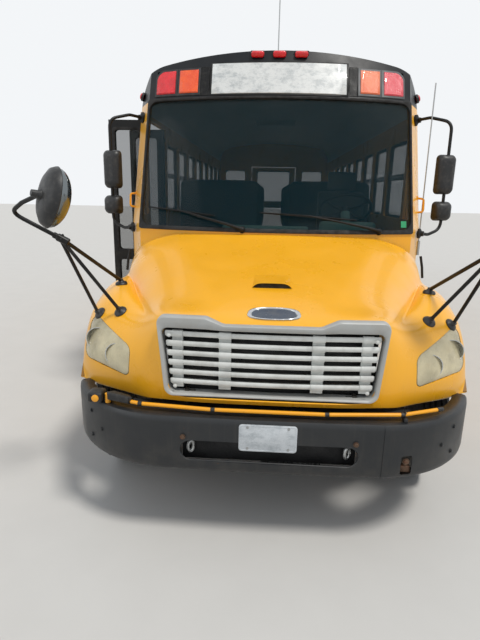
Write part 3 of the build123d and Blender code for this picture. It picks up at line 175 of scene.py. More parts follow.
def painted(name, color, roughness=0.35, shade=0.06, dust=0.25, dust_top=1.2, chips=0.0,
            dust_color=road_dust, streaks=0.0, coat=0.0, specular=0.5, grain=0.0):
    """Painted sheet metal: uneven colour, road dust that thins upwards, streaks and chips."""
    f = Finish(name, roughness=roughness, Coat_Weight=coat, Coat_Roughness=0.08,
               Specular_IOR_Level=specular)
    base = f.mottled(color, 1 - shade, 1 + shade, 1.7, 4)
    cloud = f.spread(f.noise(9, 6, 0.65), 0.35, 0.75)
    fade = f.spread(f.height_z(), dust_top * 0.35, dust_top, 1.0, 0.12)
    base = f.mix(f.times(f.times(cloud, fade), dust), base, dust_color)
    if streaks:
        base = f.film(base, scaled(dust_color, 0.55), (5, 5, 0.6, (9, 9, 0.45)), 0.52, 0.78, streaks)
    if chips:
        spots = f.spread(f.noise(70, 3, 0.7), 0.735 - 0.04 * chips, 0.765 - 0.04 * chips)
        base = f.mix(spots, base, srgb(92, 52, 30))
    f.color(base)
    f.rough(4, 4, 0.25, 0.8, roughness - 0.07, roughness + 0.16)
    f.bump(f.noise(2.2, 2), 0.10, 0.004)
    f.bump(f.noise(380, 2), 0.05 + grain, 0.0004)
    return f.material


def plastic(name, color, roughness=0.55):
    """Moulded plastic with a leather-like grain, faded and dusty."""
    f = Finish(name, roughness=roughness)
    base = f.mottled(color, 0.88, 1.12, 6, 5, 0.6)
    f.color(f.film(base, srgb(150, 145, 135), (25, 5, 0.7), 0.45, 0.8, 0.15))
    f.rough(12, 4, 0.3, 0.75, roughness - 0.1, roughness + 0.12)
    f.bump(f.cells(900), 0.25, 0.0005)
    return f.material


def metal(name, color, roughness=0.35, rust=0.0, shade=0.12, dust=0.1):
    """Bare or plated metal with patches of rust."""
    f = Finish(name, roughness=roughness, metallic=0.9)
    patches = f.spread(f.noise(22, 6, 0.7), 0.78 - 0.35 * rust, 0.88 - 0.35 * rust)
    base = f.mix(patches, f.mottled(color, 1 - shade, 1 + shade, 8, 5), srgb(96, 50, 24))
    f.color(f.film(base, srgb(120, 112, 100), (40, 4), 0.4, 0.9, dust))
    f.rough(30, 5, 0.3, 0.8, roughness - 0.08, roughness + 0.3)
    f.plug(f.shader.inputs["Metallic"], f.spread(patches, 0.0, 1.0, 0.9, 0.1))
    f.bump(f.noise(160, 4), 0.15, 0.0008)
    return f.material


def iron(name, color, dust=0.4):
    """Rough chassis steel under paint, dust and rust."""
    f = Finish(name, roughness=0.7)
    base = f.film(f.mottled(color, 0.7, 1.5, 14, 6, 0.7), srgb(88, 55, 36), (6, 6, 0.7), 0.55, 0.8, 0.7)
    f.color(f.film(base, srgb(140, 130, 115), (3, 5), 0.35, 0.8, dust))
    f.rough(20, 4, 0.3, 0.7, 0.55, 0.9)
    f.bump(f.noise(120, 5, 0.7), 0.35, 0.0015)
    return f.material


def rubber(name, color, dust=0.3, grain=0.3):
    """Black rubber, greyed with dust."""
    f = Finish(name, roughness=0.75)
    base = f.mottled(color, 0.75, 1.3, 18, 5)
    f.color(f.film(base, srgb(140, 132, 120), (7, 6, 0.7), 0.35, 0.8, dust))
    f.rough(25, 4, 0.3, 0.7, 0.62, 0.9)
    f.bump(f.noise(260, 4), grain, 0.0008)
    return f.material


def tinted_glass(name, color, alpha, specular=0.35, haze=0.12):
    """A pane seen through by its alpha, with a film of dust in the corners."""
    f = Finish(name, roughness=0.03, Alpha=alpha, Specular_IOR_Level=specular)
    f.color(f.film(color, srgb(150, 160, 155), (2.5, 6, 0.7), 0.4, 0.85, haze))
    f.rough(11, 5, 0.35, 0.8, 0.03, 0.12)
    f.bump(f.noise(1.4, 2), 0.03, 0.004)
    return f.material


def lens(name, color, deep):
    """Ribbed lamp lens with a faded skin."""
    f = Finish(name, roughness=0.18, Coat_Weight=0.5, Coat_Roughness=0.05)
    f.color(f.mix(f.spread(f.noise(9, 4), 0.35, 0.7), deep, color))
    f.rough(30, 4, 0.3, 0.8, 0.18, 0.38)
    for direction in "XZ":
        f.bump(f.waves(55, direction), 0.25, 0.002)
    return f.material


def vinyl(name, color):
    """Grained seat vinyl with scuffs."""
    f = Finish(name, roughness=0.5, Sheen_Weight=0.15)
    base = f.mottled(color, 0.8, 1.2, 5, 5)
    f.color(f.film(base, scaled(color, 2.2), (30, 6, 0.75), 0.6, 0.85, 0.5))
    f.rough(9, 4, 0.3, 0.7, 0.38, 0.62)
    f.bump(f.cells(420, "DISTANCE_TO_EDGE"), 0.35, 0.0007)
    f.bump(f.noise(6, 3), 0.25, 0.006)
    return f.material


def reflective_sheet(name, color):
    """Stuck-on reflective sheet: fine cells, grey stains."""
    f = Finish(name, roughness=0.3, Coat_Weight=0.3)
    base = f.mix(f.spread(f.cells(160, "DISTANCE_TO_EDGE"), 0.0, 0.12), scaled(color, 0.88), color)
    f.color(f.film(base, srgb(120, 132, 138), (11, 7, 0.75, (1, 1, 1.6)), 0.42, 0.68, 0.5))
    f.rough(15, 4, 0.3, 0.7, 0.25, 0.5)
    f.bump(f.cells(160), 0.06, 0.0005)
    return f.material


def ribbed_floor(name, color):
    """Ribbed rubber floor covering, worn pale."""
    f = Finish(name, roughness=0.7)
    f.color(f.mottled(color, 0.7, 1.6, 4, 6, 0.7))
    f.rough(9, 4, 0.3, 0.7, 0.6, 0.85)
    f.bump(f.waves(40, "X"), 0.5, 0.002)
    return f.material


def hazy(name, color, alpha):
    """Yellowed, crazed lamp plastic that still lets the bucket show."""
    f = Finish(name, roughness=0.28, Alpha=alpha, Coat_Weight=0.4, Coat_Roughness=0.15)
    base = f.mottled(color, 0.72, 1.12, 7, 5, 0.6)
    f.color(f.mix(f.spread(f.height_z(), 0.95, 1.15), base, scaled(color, 0.78)))
    f.rough(18, 5, 0.3, 0.7, 0.2, 0.42)
    f.plug(f.shader.inputs["Alpha"], f.spread(f.noise(5, 5, 0.6), 0.3, 0.75, alpha - 0.14, alpha + 0.2))
    f.bump(f.noise(300, 3), 0.12, 0.0005)
    return f.material


def screen(name, color):
    """Fine dark mesh in front of the radiator."""
    f = Finish(name, roughness=0.7)
    f.color(f.mix(f.spread(f.cells(220, "DISTANCE_TO_EDGE"), 0.03, 0.12), scaled(color, 3.0),
                  scaled(color, 0.4)))
    f.rough(8, 4, 0.3, 0.7, 0.55, 0.85)
    f.bump(f.cells(220), 0.5, 0.002)
    return f.material


yellow = painted("bus_yellow", srgb(253, 181, 31), 0.30, 0.035, 0.22, 0.9, coat=0.25, streaks=0.05)
# Darker copy of the body yellow for the hood's inner faces: painted shade; its heavier road dust is dirt.
yellow_inside_painted_shade = painted("yellow_inside_painted_shade", srgb(150, 104, 24), 0.6, 0.12, 0.5, 1.6)
rod_yellow = painted("rod_yellow", srgb(246, 168, 22), 0.4, 0.05, 0.2, 1.2, chips=0.5)
roof_white = painted("roof_white", srgb(226, 226, 221), 0.38, 0.03, 0.16, 6.0, streaks=0.08,
                     dust_color=srgb(150, 145, 132))
# Black paint for the front cap; its blue tint is a painted sky reflection.
cap_black = painted("cap_black", srgb(8, 14, 20), 0.34, 0.15, 0.04, 4.0, specular=0.3)
satin_black = painted("satin_black", srgb(13, 14, 15), 0.42, 0.2, 0.12, 2.0, specular=0.3)
bumper_black = painted("bumper_black", srgb(28, 31, 34), 0.42, 0.16, 0.22, 0.75, chips=0.6,
                       streaks=0.12, dust_color=srgb(118, 110, 98), grain=0.06)
rim_paint = painted("rim_paint", srgb(30, 30, 31), 0.5, 0.25, 0.55, 1.2, chips=0.6)
silver = painted("grille_silver", srgb(222, 224, 220), 0.35, 0.06, 0.35, 4.0, specular=0.6,
                 dust_color=srgb(122, 118, 110))
silver_frame = painted("grille_frame", srgb(176, 178, 176), 0.4, 0.06, 0.3, 4.0, specular=0.6)
badge_blue = painted("badge_blue", srgb(52, 66, 84), 0.25, 0.1, 0.2, 4.0, specular=0.7)
stop_red = painted("stop_red", srgb(190, 22, 24), 0.35, 0.05, 0.15, 4.0)
white_paint = painted("white_paint", srgb(228, 228, 224), 0.4, 0.04, 0.2, 4.0)
sticker_green = painted("sticker_green", srgb(30, 150, 96), 0.4, 0.08, 0.1, 4.0)
chassis_black = iron("chassis_black", srgb(26, 26, 26))
axle_iron = iron("axle_iron", srgb(38, 36, 34), 0.55)
exhaust_steel = metal("exhaust_steel", srgb(120, 112, 104), 0.5, rust=0.5)
plated_steel = metal("plated_steel", srgb(170, 172, 172), 0.3, rust=0.06)
rusty_steel = metal("rusty_steel", srgb(110, 90, 76), 0.6, rust=0.75)
chrome = metal("chrome", srgb(205, 208, 210), 0.12, shade=0.05)
mirror_glass = metal("mirror_glass", srgb(205, 212, 216), 0.03, shade=0.03, dust=0.04)
dark_mirror = metal("dark_mirror", srgb(120, 126, 128), 0.06, shade=0.05, dust=0.05)
tyre_rubber = rubber("tyre_rubber", srgb(28, 28, 28), 0.45)
seal_rubber = rubber("seal_rubber", srgb(10, 10, 11), 0.05, 0.1)
floor_cover = ribbed_floor("floor_cover", srgb(44, 44, 46))
windshield_glass = tinted_glass("windshield_glass", srgb(3, 34, 42), 0.50, specular=0.14, haze=0.05)
side_glass = tinted_glass("side_glass", srgb(16, 30, 31), 0.42)
red_lens = lens("red_lens", srgb(244, 8, 30), srgb(212, 4, 22))
# Paler copies of the red and amber lenses, for the lamps on the sunlit right side: painted light.
red_lens_painted_light = lens("red_lens_painted_light", srgb(240, 108, 116), srgb(225, 62, 76))
amber_lens = lens("amber_lens", srgb(255, 96, 6), srgb(240, 74, 2))
amber_lens_painted_light = lens("amber_lens_painted_light", srgb(246, 136, 92), srgb(238, 110, 64))
bulb_glass = lens("bulb_glass", srgb(226, 200, 150), srgb(200, 150, 90))
hazy_lens = hazy("hazy_lens", srgb(236, 224, 186), 0.70)
white_sheet = reflective_sheet("white_sheet", srgb(226, 228, 226))
plate_sheet = reflective_sheet("plate_sheet", srgb(205, 210, 214))
black_plastic = plastic("black_plastic", srgb(24, 25, 27), 0.45)
# On the right warning lamps' frames this grey is a lighter copy of the black frames: painted light.
grey_plastic = plastic("grey_plastic", srgb(84, 88, 90), 0.5)
dash_plastic = plastic("dash_plastic", srgb(150, 196, 186), 0.6)
bucket_grey = plastic("bucket_grey", srgb(186, 180, 160), 0.4)
# Near-black brown for the pull slit's back wall: painted shade of the recess under the lip.
slit_painted_shade = plastic("slit_painted_shade", srgb(26, 22, 16), 0.8)
seat_vinyl = vinyl("seat_vinyl", srgb(44, 60, 58))
driver_vinyl = vinyl("driver_vinyl", srgb(92, 100, 100))
screen_mesh = screen("screen_mesh", srgb(16, 16, 17))

node_finishes = [
    (yellow, "side_left side_right rear_wall cowl hood rear_door"), (rod_yellow, "crossing_arm"),
    (roof_white, "roof roof_hatch"), (cap_black, "front_cap"), (bumper_black, "front_bumper"),
    (satin_black, "rear_bumper seat_legs_left seat_legs_right wipers entry_door_front entry_door_rear"),
    (chassis_black, "frame fuel_tank"), (axle_iron, "axles engine knuckle_left knuckle_right"),
    (exhaust_steel, "exhaust"), (plated_steel, "antennas"), (floor_cover, "floor stepwell"),
    (windshield_glass, "windshield"), (seal_rubber, "body_trim"), (silver, "grille"),
    (side_glass, "side_windows entry_glass_front entry_glass_rear rear_door_glass"),
    (black_plastic, "side_mirrors steering_wheel crossview_mirrors"), (grey_plastic, "headlamps"),
    (dash_plastic, "dashboard"), (driver_vinyl, "driver_seat"), (seat_vinyl, "seats_left seats_right"),
    (white_sheet, "sign_panels"), (red_lens, "lamps_red"), (amber_lens, "lamps_amber"),
    (stop_red, "stop_arm"),
    (tyre_rubber, "front_tyre_left front_tyre_right rear_tyres_left rear_tyres_right"),
    (rim_paint, "front_rim_left front_rim_right rear_rims_left rear_rims_right"),
]
for finish, nodes in node_finishes:
    for node in nodes.split():
        for material_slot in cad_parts[node].material_slots:
            material_slot.material = finish

# The material slot that a piece belongs to, by the finish that it has first
slot_finishes = {
    "body_yellow": [yellow, rod_yellow], "roof_white": [roof_white], "stop_red": [stop_red],
    "black_paint": [satin_black, bumper_black], "rub_rubber": [seal_rubber], "tyre_rubber": [tyre_rubber],
    "rim_paint": [rim_paint], "silver_plastic": [silver, silver_frame, chrome, bucket_grey],
    "black_plastic": [black_plastic, screen_mesh], "zinc_steel": [plated_steel, rusty_steel],
    "white_panel": [white_sheet, plate_sheet, white_paint, sticker_green], "clear_lens": [hazy_lens],
    "red_lens": [red_lens], "amber_lens": [amber_lens], "seat_vinyl": [seat_vinyl, driver_vinyl],
    "dash_plastic": [dash_plastic],
}
slots = {finish.name: slot for slot, finishes in slot_finishes.items() for finish in finishes}


# Mesh helpers


def circle(count):
    """Cosine and sine of evenly spaced turns."""
    turns = [2 * math.pi * k / count for k in range(count)]
    return [(math.cos(t), math.sin(t)) for t in turns]


class Shape:
    """Gathers the geometry of one piece in the bus's own frame, then makes it."""

    def __init__(self):
        self.bm = bmesh.new()
        self.paint = 0

    def add(self, points, faces):
        verts = [self.bm.verts.new(point) for point in points]
        for face in faces:
            self.bm.faces.new([verts[i] for i in face]).material_index = self.paint
        return verts

    def lid(self, ring):
        """One face over a ring of points."""
        self.add(ring, [tuple(range(len(ring)))])

    def skin(self, rows, wrap_rows=False, wrap_points=False, cap=False):
        """Quads over rows of points; rows or points may close on themselves."""
        count, wide = len(rows), len(rows[0])
        faces = []
        for r in range(count if wrap_rows else count - 1):
            for c in range(wide if wrap_points else wide - 1):
                a, b = r * wide + c, r * wide + (c + 1) % wide
                s = (r + 1) % count * wide
                faces.append((a, b, s + (c + 1) % wide, s + c))
        if cap:
            faces.append(tuple(range(wide))[::-1])
            faces.append(tuple(range((count - 1) * wide, count * wide)))
        return self.add([point for row in rows for point in row], faces)

    def rounded_off(self, edges, size, steps):
        bmesh.ops.bevel(self.bm, geom=list(edges), offset=size, segments=steps, profile=0.5,
                        affect="EDGES", clamp_overlap=True)

    def box(self, low, high, bevel, steps=2, turn=Matrix()):
        """A box between two corners with rounded edges, turned about its own centre."""
        low, high = Vector(low), Vector(high)
        size = Matrix.Diagonal((*[abs(s) for s in high - low], 1.0))
        place = Matrix.Translation((low + high) / 2) @ turn
        made = bmesh.ops.create_cube(self.bm, size=1.0, matrix=place @ size)["verts"]
        for face in {f for v in made for f in v.link_faces}:
            face.material_index = self.paint
        self.rounded_off({e for v in made for e in v.link_edges}, bevel, steps)

    def tube(self, points, radius, sides=12, closed=False):
        """A round bar along points, with one radius or one for each point."""
        points = [Vector(point) for point in points]
        radii = radius if isinstance(radius, list) else [radius] * len(points)
        rows = []
        side = None
        for i, point in enumerate(points):
            before = points[i - 1] if closed or i else point
            after = points[(i + 1) % len(points)] if closed or i + 1 < len(points) else point
            along = (after - before).normalized()
            if side is None:
                side = along.orthogonal().normalized()
            side = (side - along * side.dot(along)).normalized()
            other = along.cross(side)
            rows.append([point + radii[i] * (side * c + other * s) for c, s in circle(sides)])
        self.skin(rows, wrap_rows=closed, wrap_points=True, cap=not closed)

    def lathe(self, center, axis, profile, steps=48, cap=True):
        """A turned form: the profile holds (distance along the axis, radius) pairs."""
        center, axis = Vector(center), Vector(axis).normalized()
        side = axis.orthogonal().normalized()
        other = axis.cross(side)
        rows = [[center + axis * along + (side * c + other * s) * radius for c, s in circle(steps)]
                for along, radius in profile]
        self.skin(rows, wrap_points=True, cap=cap)

    def slab(self, outline, offset, bevel=0.0):
        """A plate: a flat outline and its copy moved by an offset, with rounded rims."""
        outline, offset = [Vector(point) for point in outline], Vector(offset)
        count = len(outline)
        faces = [tuple(range(count)), tuple(range(count, 2 * count))[::-1]]
        for i in range(count):
            j = (i + 1) % count
            faces.append((i, count + i, count + j, j))
        verts = self.add(outline + [point + offset for point in outline], faces)
        if bevel:
            across = offset.normalized()
            rims = {e for v in verts for e in v.link_edges
                    if abs((e.verts[0].co - e.verts[1].co).normalized().dot(across)) < 0.7}
            self.rounded_off(rims, bevel, 2)

    def heads(self, points, normal, radius, rise, sides=8):
        """Domed rivet or bolt heads standing on a surface."""
        for point in points:
            self.lathe(point, normal, [(0.0, radius), (rise * 0.6, radius * 0.85),
                                       (rise, radius * 0.3)], sides)

    def bolts(self, points, normal, radius, rise):
        """Hexagon heads on washers."""
        for point in points:
            self.lathe(point, normal, [(0.0, radius * 1.35), (rise * 0.25, radius * 1.35)], 16)
            self.lathe(point, normal, [(rise * 0.2, radius), (rise * 0.85, radius),
                                       (rise, radius * 0.8)], 6)

    def make(self, name, body, *finishes, replaces=(), crease=35.0):
        """Turns the gathered geometry into a piece that rides on a body."""
        bmesh.ops.recalc_face_normals(self.bm, faces=self.bm.faces)
        mesh = bpy.data.meshes.new(name)
        self.bm.to_mesh(mesh)
        self.bm.free()
        for finish in finishes:
            mesh.materials.append(finish)
        mesh.shade_smooth()
        mesh.set_sharp_from_angle(angle=math.radians(crease))
        piece = bpy.data.objects.new(name, mesh)
        bpy.context.collection.objects.link(piece)
        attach(piece, body)
        if replaces:
            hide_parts(*replaces)
        return piece


def shapes(count):
    """Empty shapes, one for each piece that is gathered at once."""
    return [Shape() for _ in range(count)]


def blend(a, b, t):
    """A pair of numbers on the way from one pair to another."""
    return a[0] + (b[0] - a[0]) * t, a[1] + (b[1] - a[1]) * t


def turned(point, turn):
    """A 2-D point turned about the origin."""
    c, s = math.cos(turn), math.sin(turn)
    return Vector((point.x * c - point.y * s, point.x * s + point.y * c))


def rounded(corners, radii, steps=6):
    """Closed 2-D corners turned into arcs; each corner gives steps + 1 points."""
    out = []
    for i, (corner, radius) in enumerate(zip(corners, radii)):
        p = Vector(corner)
        a = (Vector(corners[i - 1]) - p).normalized()
        b = (Vector(corners[(i + 1) % len(corners)]) - p).normalized()
        half = math.acos(max(-1.0, min(1.0, a.dot(b)))) / 2
        center = p + (a + b).normalized() * (radius / math.sin(half))
        start = p + a * (radius / math.tan(half)) - center
        end = p + b * (radius / math.tan(half)) - center
        sweep = math.atan2(start.x * end.y - start.y * end.x, start.dot(end))
        out += [center + turned(start, sweep * k / steps) for k in range(steps + 1)]
    return out


def bent(points, radius, steps=6):
    """A 3-D route with its inner corners turned into arcs."""
    points = [Vector(point) for point in points]
    out = [points[0]]
    for before, p, after in zip(points, points[1:], points[2:]):
        a, b = (before - p), (after - p)
        reach = min(radius / math.tan(a.angle(b) / 2), 0.48 * a.length, 0.48 * b.length)
        start, end = p + a.normalized() * reach, p + b.normalized() * reach
        for k in range(steps + 1):
            t = k / steps
            out.append(start * (1 - t) ** 2 + p * 2 * t * (1 - t) + end * t * t)
    out.append(points[-1])
    return out


def arc_through(a, b, c, steps):
    """Points of the arc from a to c through b, in a plane."""
    a, b, c = Vector(a), Vector(b), Vector(c)
    cross = 2 * ((a.x - b.x) * (b.y - c.y) - (a.y - b.y) * (b.x - c.x))
    sa, sb, sc = a.length_squared, b.length_squared, c.length_squared
    center = Vector((((sa - sb) * (b.y - c.y) - (sb - sc) * (a.y - b.y)) / cross,
                     ((a.x - b.x) * (sb - sc) - (b.x - c.x) * (sa - sb)) / cross))
    start = a - center
    turn = start.angle_signed(b - center) + (b - center).angle_signed(c - center)
    return [center + turned(start, -turn * k / steps) for k in range(steps + 1)]


def modified(piece, kind, **settings):
    """Applies one modifier to a piece's mesh."""
    made = piece.modifiers.new(kind.lower(), kind)
    for key, value in settings.items():
        setattr(made, key, value)
    graph = bpy.context.evaluated_depsgraph_get()
    mesh = bpy.data.meshes.new_from_object(piece.evaluated_get(graph))
    piece.modifiers.clear()
    piece.data = mesh
    return piece


def surface_of(piece):
    """Search tree of a finished piece, for laying other pieces on it."""
    return BVHTree.FromObject(piece, bpy.context.evaluated_depsgraph_get())


def front_hit(tree, x, z):
    """Where a line straight back from the front meets a surface, and the surface's normal."""
    return tree.ray_cast(at(x, -1.0, z), Vector((0, 1, 0)))[:2]


def top_hit(tree, x, d):
    """Where a line straight down meets a surface, and the surface's normal."""
    return tree.ray_cast(at(x, d, 5.0), Vector((0, 0, -1)))[:2]


def cut_through(piece, outlines, start_d, end_d):
    """Cuts (x, z) outlines straight back through a piece."""
    shape = Shape()
    for outline in outlines:
        shape.slab([at(x, start_d, z) for x, z in outline], (0, end_d - start_d, 0))
    bmesh.ops.recalc_face_normals(shape.bm, faces=shape.bm.faces)
    mesh = bpy.data.meshes.new("cutter")
    shape.bm.to_mesh(mesh)
    shape.bm.free()
    cutter = bpy.data.objects.new("cutter", mesh)
    bpy.context.collection.objects.link(cutter)
    modified(piece, "BOOLEAN", object=cutter, operation="DIFFERENCE", solver="EXACT")
    bpy.data.objects.remove(cutter)


# Hood: a cage of control points for one half, from the front's lower edge to the windshield.
# Each row runs from the centre line over the crease and the nose's side to the fender's side:
# centre, panel, crease, nose top, nose edge, valley, inner fender, crest, outer fender, side.
# Points are (x, distance behind the bumper, height).
hood_rows = [
    [(0, .120, .812), (.13, .120, .812), (.26, .122, .812), (.45, .128, .812), (.60, .154, .812),
     (.70, .205, .792), (.82, .285, .785), (.97, .375, .775), (1.09, .455, .765), (1.155, .515, .765)],
    [(0, .106, .84), (.13, .106, .84), (.26, .108, .84), (.43, .115, .84), (.555, .135, .84),
     (.68, .185, .84), (.82, .265, .84), (.98, .360, .835), (1.125, .465, .83), (1.192, .555, .825)],
    [(0, .100, 1.0), (.13, .100, 1.0), (.26, .102, 1.0), (.43, .110, 1.0), (.575, .135, 1.0),
     (.69, .200, 1.0), (.83, .280, .99), (.99, .378, .97), (1.145, .490, .95), (1.21, .600, .93)],
    [(0, .108, 1.14), (.13, .108, 1.14), (.26, .110, 1.14), (.44, .120, 1.14), (.59, .150, 1.14),
     (.70, .232, 1.12), (.83, .325, 1.10), (.98, .430, 1.09), (1.135, .540, 1.07), (1.213, .670, 1.04)],
    [(0, .130, 1.232), (.13, .130, 1.232), (.26, .132, 1.235), (.44, .145, 1.262), (.595, .178, 1.258),
     (.695, .270, 1.20), (.81, .400, 1.175), (.95, .500, 1.19), (1.10, .600, 1.18), (1.207, .720, 1.13)],
    [(0, .185, 1.275), (.14, .185, 1.275), (.275, .190, 1.283), (.45, .205, 1.296), (.62, .240, 1.290),
     (.715, .350, 1.22), (.81, .500, 1.22), (.94, .600, 1.255), (1.08, .680, 1.245), (1.20, .770, 1.18)],
    [(0, .36, 1.328), (.16, .36, 1.327), (.33, .365, 1.325), (.50, .380, 1.315), (.665, .420, 1.285),
     (.765, .500, 1.225), (.84, .620, 1.25), (.95, .700, 1.298), (1.07, .770, 1.290), (1.192, .840, 1.215)],
    [(0, .58, 1.390), (.20, .58, 1.388), (.42, .59, 1.380), (.60, .600, 1.352), (.76, .630, 1.300),
     (.845, .680, 1.240), (.895, .750, 1.268), (.97, .820, 1.322), (1.08, .880, 1.320), (1.187, .930, 1.245)],
    [(0, .85, 1.460), (.25, .85, 1.457), (.53, .86, 1.442), (.71, .870, 1.402), (.865, .890, 1.335),
     (.935, .910, 1.262), (.955, .940, 1.282), (1.0, .970, 1.325), (1.09, 1.0, 1.325), (1.19, 1.03, 1.255)],
    [(0, 1.12, 1.532), (.29, 1.12, 1.528), (.645, 1.13, 1.513), (.82, 1.14, 1.466), (.965, 1.15, 1.400),
     (1.03, 1.16, 1.302), (1.04, 1.17, 1.295), (1.06, 1.18, 1.312), (1.12, 1.19, 1.305), (1.20, 1.20, 1.24)],
    [(0, 1.30, 1.590), (.32, 1.30, 1.586), (.72, 1.31, 1.572), (.90, 1.32, 1.522), (1.04, 1.33, 1.448),
     (1.10, 1.34, 1.345), (1.112, 1.345, 1.31), (1.13, 1.35, 1.292), (1.16, 1.355, 1.27),
     (1.205, 1.36, 1.22)],
    [(0, 1.376, 1.626), (.33, 1.389, 1.622), (.76, 1.457, 1.608), (.94, 1.516, 1.568), (1.085, 1.575, 1.492),
     (1.135, 1.588, 1.405), (1.15, 1.59, 1.325), (1.165, 1.592, 1.275), (1.185, 1.592, 1.24),
     (1.205, 1.592, 1.19)],
]
arch_degrees = [151, 145, 135, 123, 113, 105, 97, 86, 74, 55, 38, 21]
arch_x = 1.205
arch_lip = 0.03
grille_columns = 4
grille_rows = (1, 4)
# Sharpness of the lines that run back from the front, by their column in a row
crease_column = 2
sharpness = {crease_column: 0.80, 5: 0.30, 10: 0.9, 11: 1.0}
nose_rows = 5


def hood_piece():
    """The tilting front: nose, fenders and wheel arches, open at the grille."""
    rows = []
    for row, degrees in zip(hood_rows, arch_degrees):
        turn = math.radians(degrees)
        d = front_axle_d + arch_radius * math.cos(turn)
        z = tyre_radius + arch_radius * math.sin(turn)
        rows.append([at(*p) for p in row] + [at(arch_x, d, z), at(arch_x - arch_lip, d, z)])
    wide = len(rows[0])
    shape = Shape()
    grid = [shape.bm.verts.new(p) for row in rows for p in row]
    mirror = [v if i % wide == 0 else shape.bm.verts.new((-v.co.x, v.co.y, v.co.z))
              for i, v in enumerate(grid)]
    for r in range(len(rows) - 1):
        for c in range(wide - 1):
            if c < grille_columns and grille_rows[0] <= r < grille_rows[1]:
                continue
            quad = [r * wide + c, r * wide + c + 1, (r + 1) * wide + c + 1, (r + 1) * wide + c]
            shape.bm.faces.new([grid[i] for i in quad])
            shape.bm.faces.new([mirror[i] for i in reversed(quad)])
    sharp = shape.bm.edges.layers.float.new("crease_edge")

    def crease(i, j, amount):
        for verts in (grid, mirror):
            edge = shape.bm.edges.get((verts[i], verts[j]))
            if edge is not None:
                edge[sharp] = amount

    for r in (0, len(rows) - 1):
        for c in range(wide - 1):
            crease(r * wide + c, r * wide + c + 1, 1.0)
    for r in range(len(rows) - 1):
        for c, amount in sharpness.items():
            if c != crease_column or r >= nose_rows:
                crease(r * wide + c, (r + 1) * wide + c, amount)
    piece = shape.make("hood_shell", "hood", yellow, yellow_inside_painted_shade, replaces=["hood"], crease=50)
    modified(piece, "SUBSURF", levels=3, render_levels=3)
    # The inner faces take the darker yellow copy, which is painted shade.
    return modified(piece, "SOLIDIFY", thickness=0.008, offset=-1.0, material_offset=1,
                    material_offset_rim=0)


hood = hood_piece()
hood_tree = surface_of(hood)


# Headlamps: the lens follows the hood's skin over a bucket with two bowls

lamp_outline = rounded([(.812, .892), (.803, 1.062), (1.134, 1.180), (1.172, .925)],
                       [.030, .050, .060, .050], 8)
lamp_middle = sum(lamp_outline, Vector((0, 0))) / len(lamp_outline)
lens_rings = [(.985, -.012), (.985, -.002), (.97, .002), (.90, .006), (.72, .009), (.5, .010),
              (.28, .011), (.08, .011)]
seal_rings = [(1.012, -.014), (1.012, -.003), (.992, .0005), (.982, -.004), (.982, -.014)]
bucket_rings = [(.985, -.006), (.96, -.03), (.90, -.055)]
bucket_depth = 0.10
lamp_bowls = [((.905, .985), .070), ((1.065, 1.035), .072)]
bowl_profile = [(-.075, 1.06), (-.075, 1), (-.045, .93), (-.02, .74), (-.006, .45), (0, .2)]
bulb_profile = [(0, .016), (.03, .018), (.045, .014), (.05, .004)]


def lamp_rings(side, rings):
    """The lamp's outline drawn to sizes about its middle, each lifted off the hood's skin."""
    rows = []
    for size, lift in rings:
        spots = [lamp_middle + (point - lamp_middle) * size for point in lamp_outline]
        rows.append([front_hit(hood_tree, side * x, z)[0] + Vector((0, -lift, 0)) for x, z in spots])
    return rows


def headlamp_pieces():
    """Lens, seal and bucket of both headlamps."""
    lenses, seals, buckets = shapes(3)
    for side in sides.values():
        for shape, rings in ((lenses, lens_rings), (seals, seal_rings), (buckets, bucket_rings)):
            rows = lamp_rings(side, rings)
            shape.skin(rows, wrap_points=True)
            if shape is not seals:
                shape.lid(rows[-1])
        for (x, z), radius in lamp_bowls:
            center = front_hit(hood_tree, side * x, z)[0] + Vector((0, bucket_depth, 0))
            bowl = [(along, radius * size) for along, size in bowl_profile]
            buckets.paint = 1
            buckets.lathe(center, (0, 1, 0), bowl, 32, cap=False)
            buckets.paint = 2
            buckets.lathe(center, (0, -1, 0), bulb_profile, 16)
            buckets.paint = 0
    lenses.make("headlamp_lenses", "hood", hazy_lens, replaces=["headlamps"])
    seals.make("headlamp_seals", "hood", seal_rubber)
    buckets.make("headlamp_buckets", "hood", bucket_grey, chrome, bulb_glass)


headlamp_pieces()
cut_through(hood, [[(side * p.x, p.y) for p in lamp_outline] for side in sides.values()], .10, .62)


# Grille: a dished surround with raised shoulders, six slatted bars, end panels and straps

grille_face_d = .104
grille_bow = .036
grille_half = .616
surround_outer = [((.575, .850), .050), ((.616, 1.296), .045), ((.345, 1.298), .060),
                  ((.255, 1.258), .060)]
surround_inner = [((.552, .866), .045), ((.590, 1.228), .034), ((.345, 1.230), .020),
                  ((.255, 1.226), .020)]
surround_profile = [(0, .030), (0, -.002), (.05, -.011), (.14, -.016), (.45, -.016), (.86, -.010),
                    (.95, -.006), (1.0, .002), (1.0, .060)]
bar_zs = [1.195 - .0535 * k for k in range(6)]
bar_height = .028
strap_xs = (.214, .280)
panel_x = .475
plate_xs = [(panel_x, .535), strap_xs]
plate_zs = (.885, 1.21)
grille_bolts = [(.515, .905), (.545, 1.19)]
screen_half = .57
screen_zs = (.86, 1.23)


def grille_place(x, depth, z):
    """A point behind the grille's face, which follows the nose's bow."""
    return at(x, grille_face_d + grille_bow * (x / grille_half) ** 2 + depth, z)


def mirrored_outline(corners):
    """A closed outline from the corners of its right half."""
    right, radii = zip(*corners)
    left = [(-x, z) for x, z in reversed(right)]
    return rounded(list(right) + left, radii + radii[::-1])


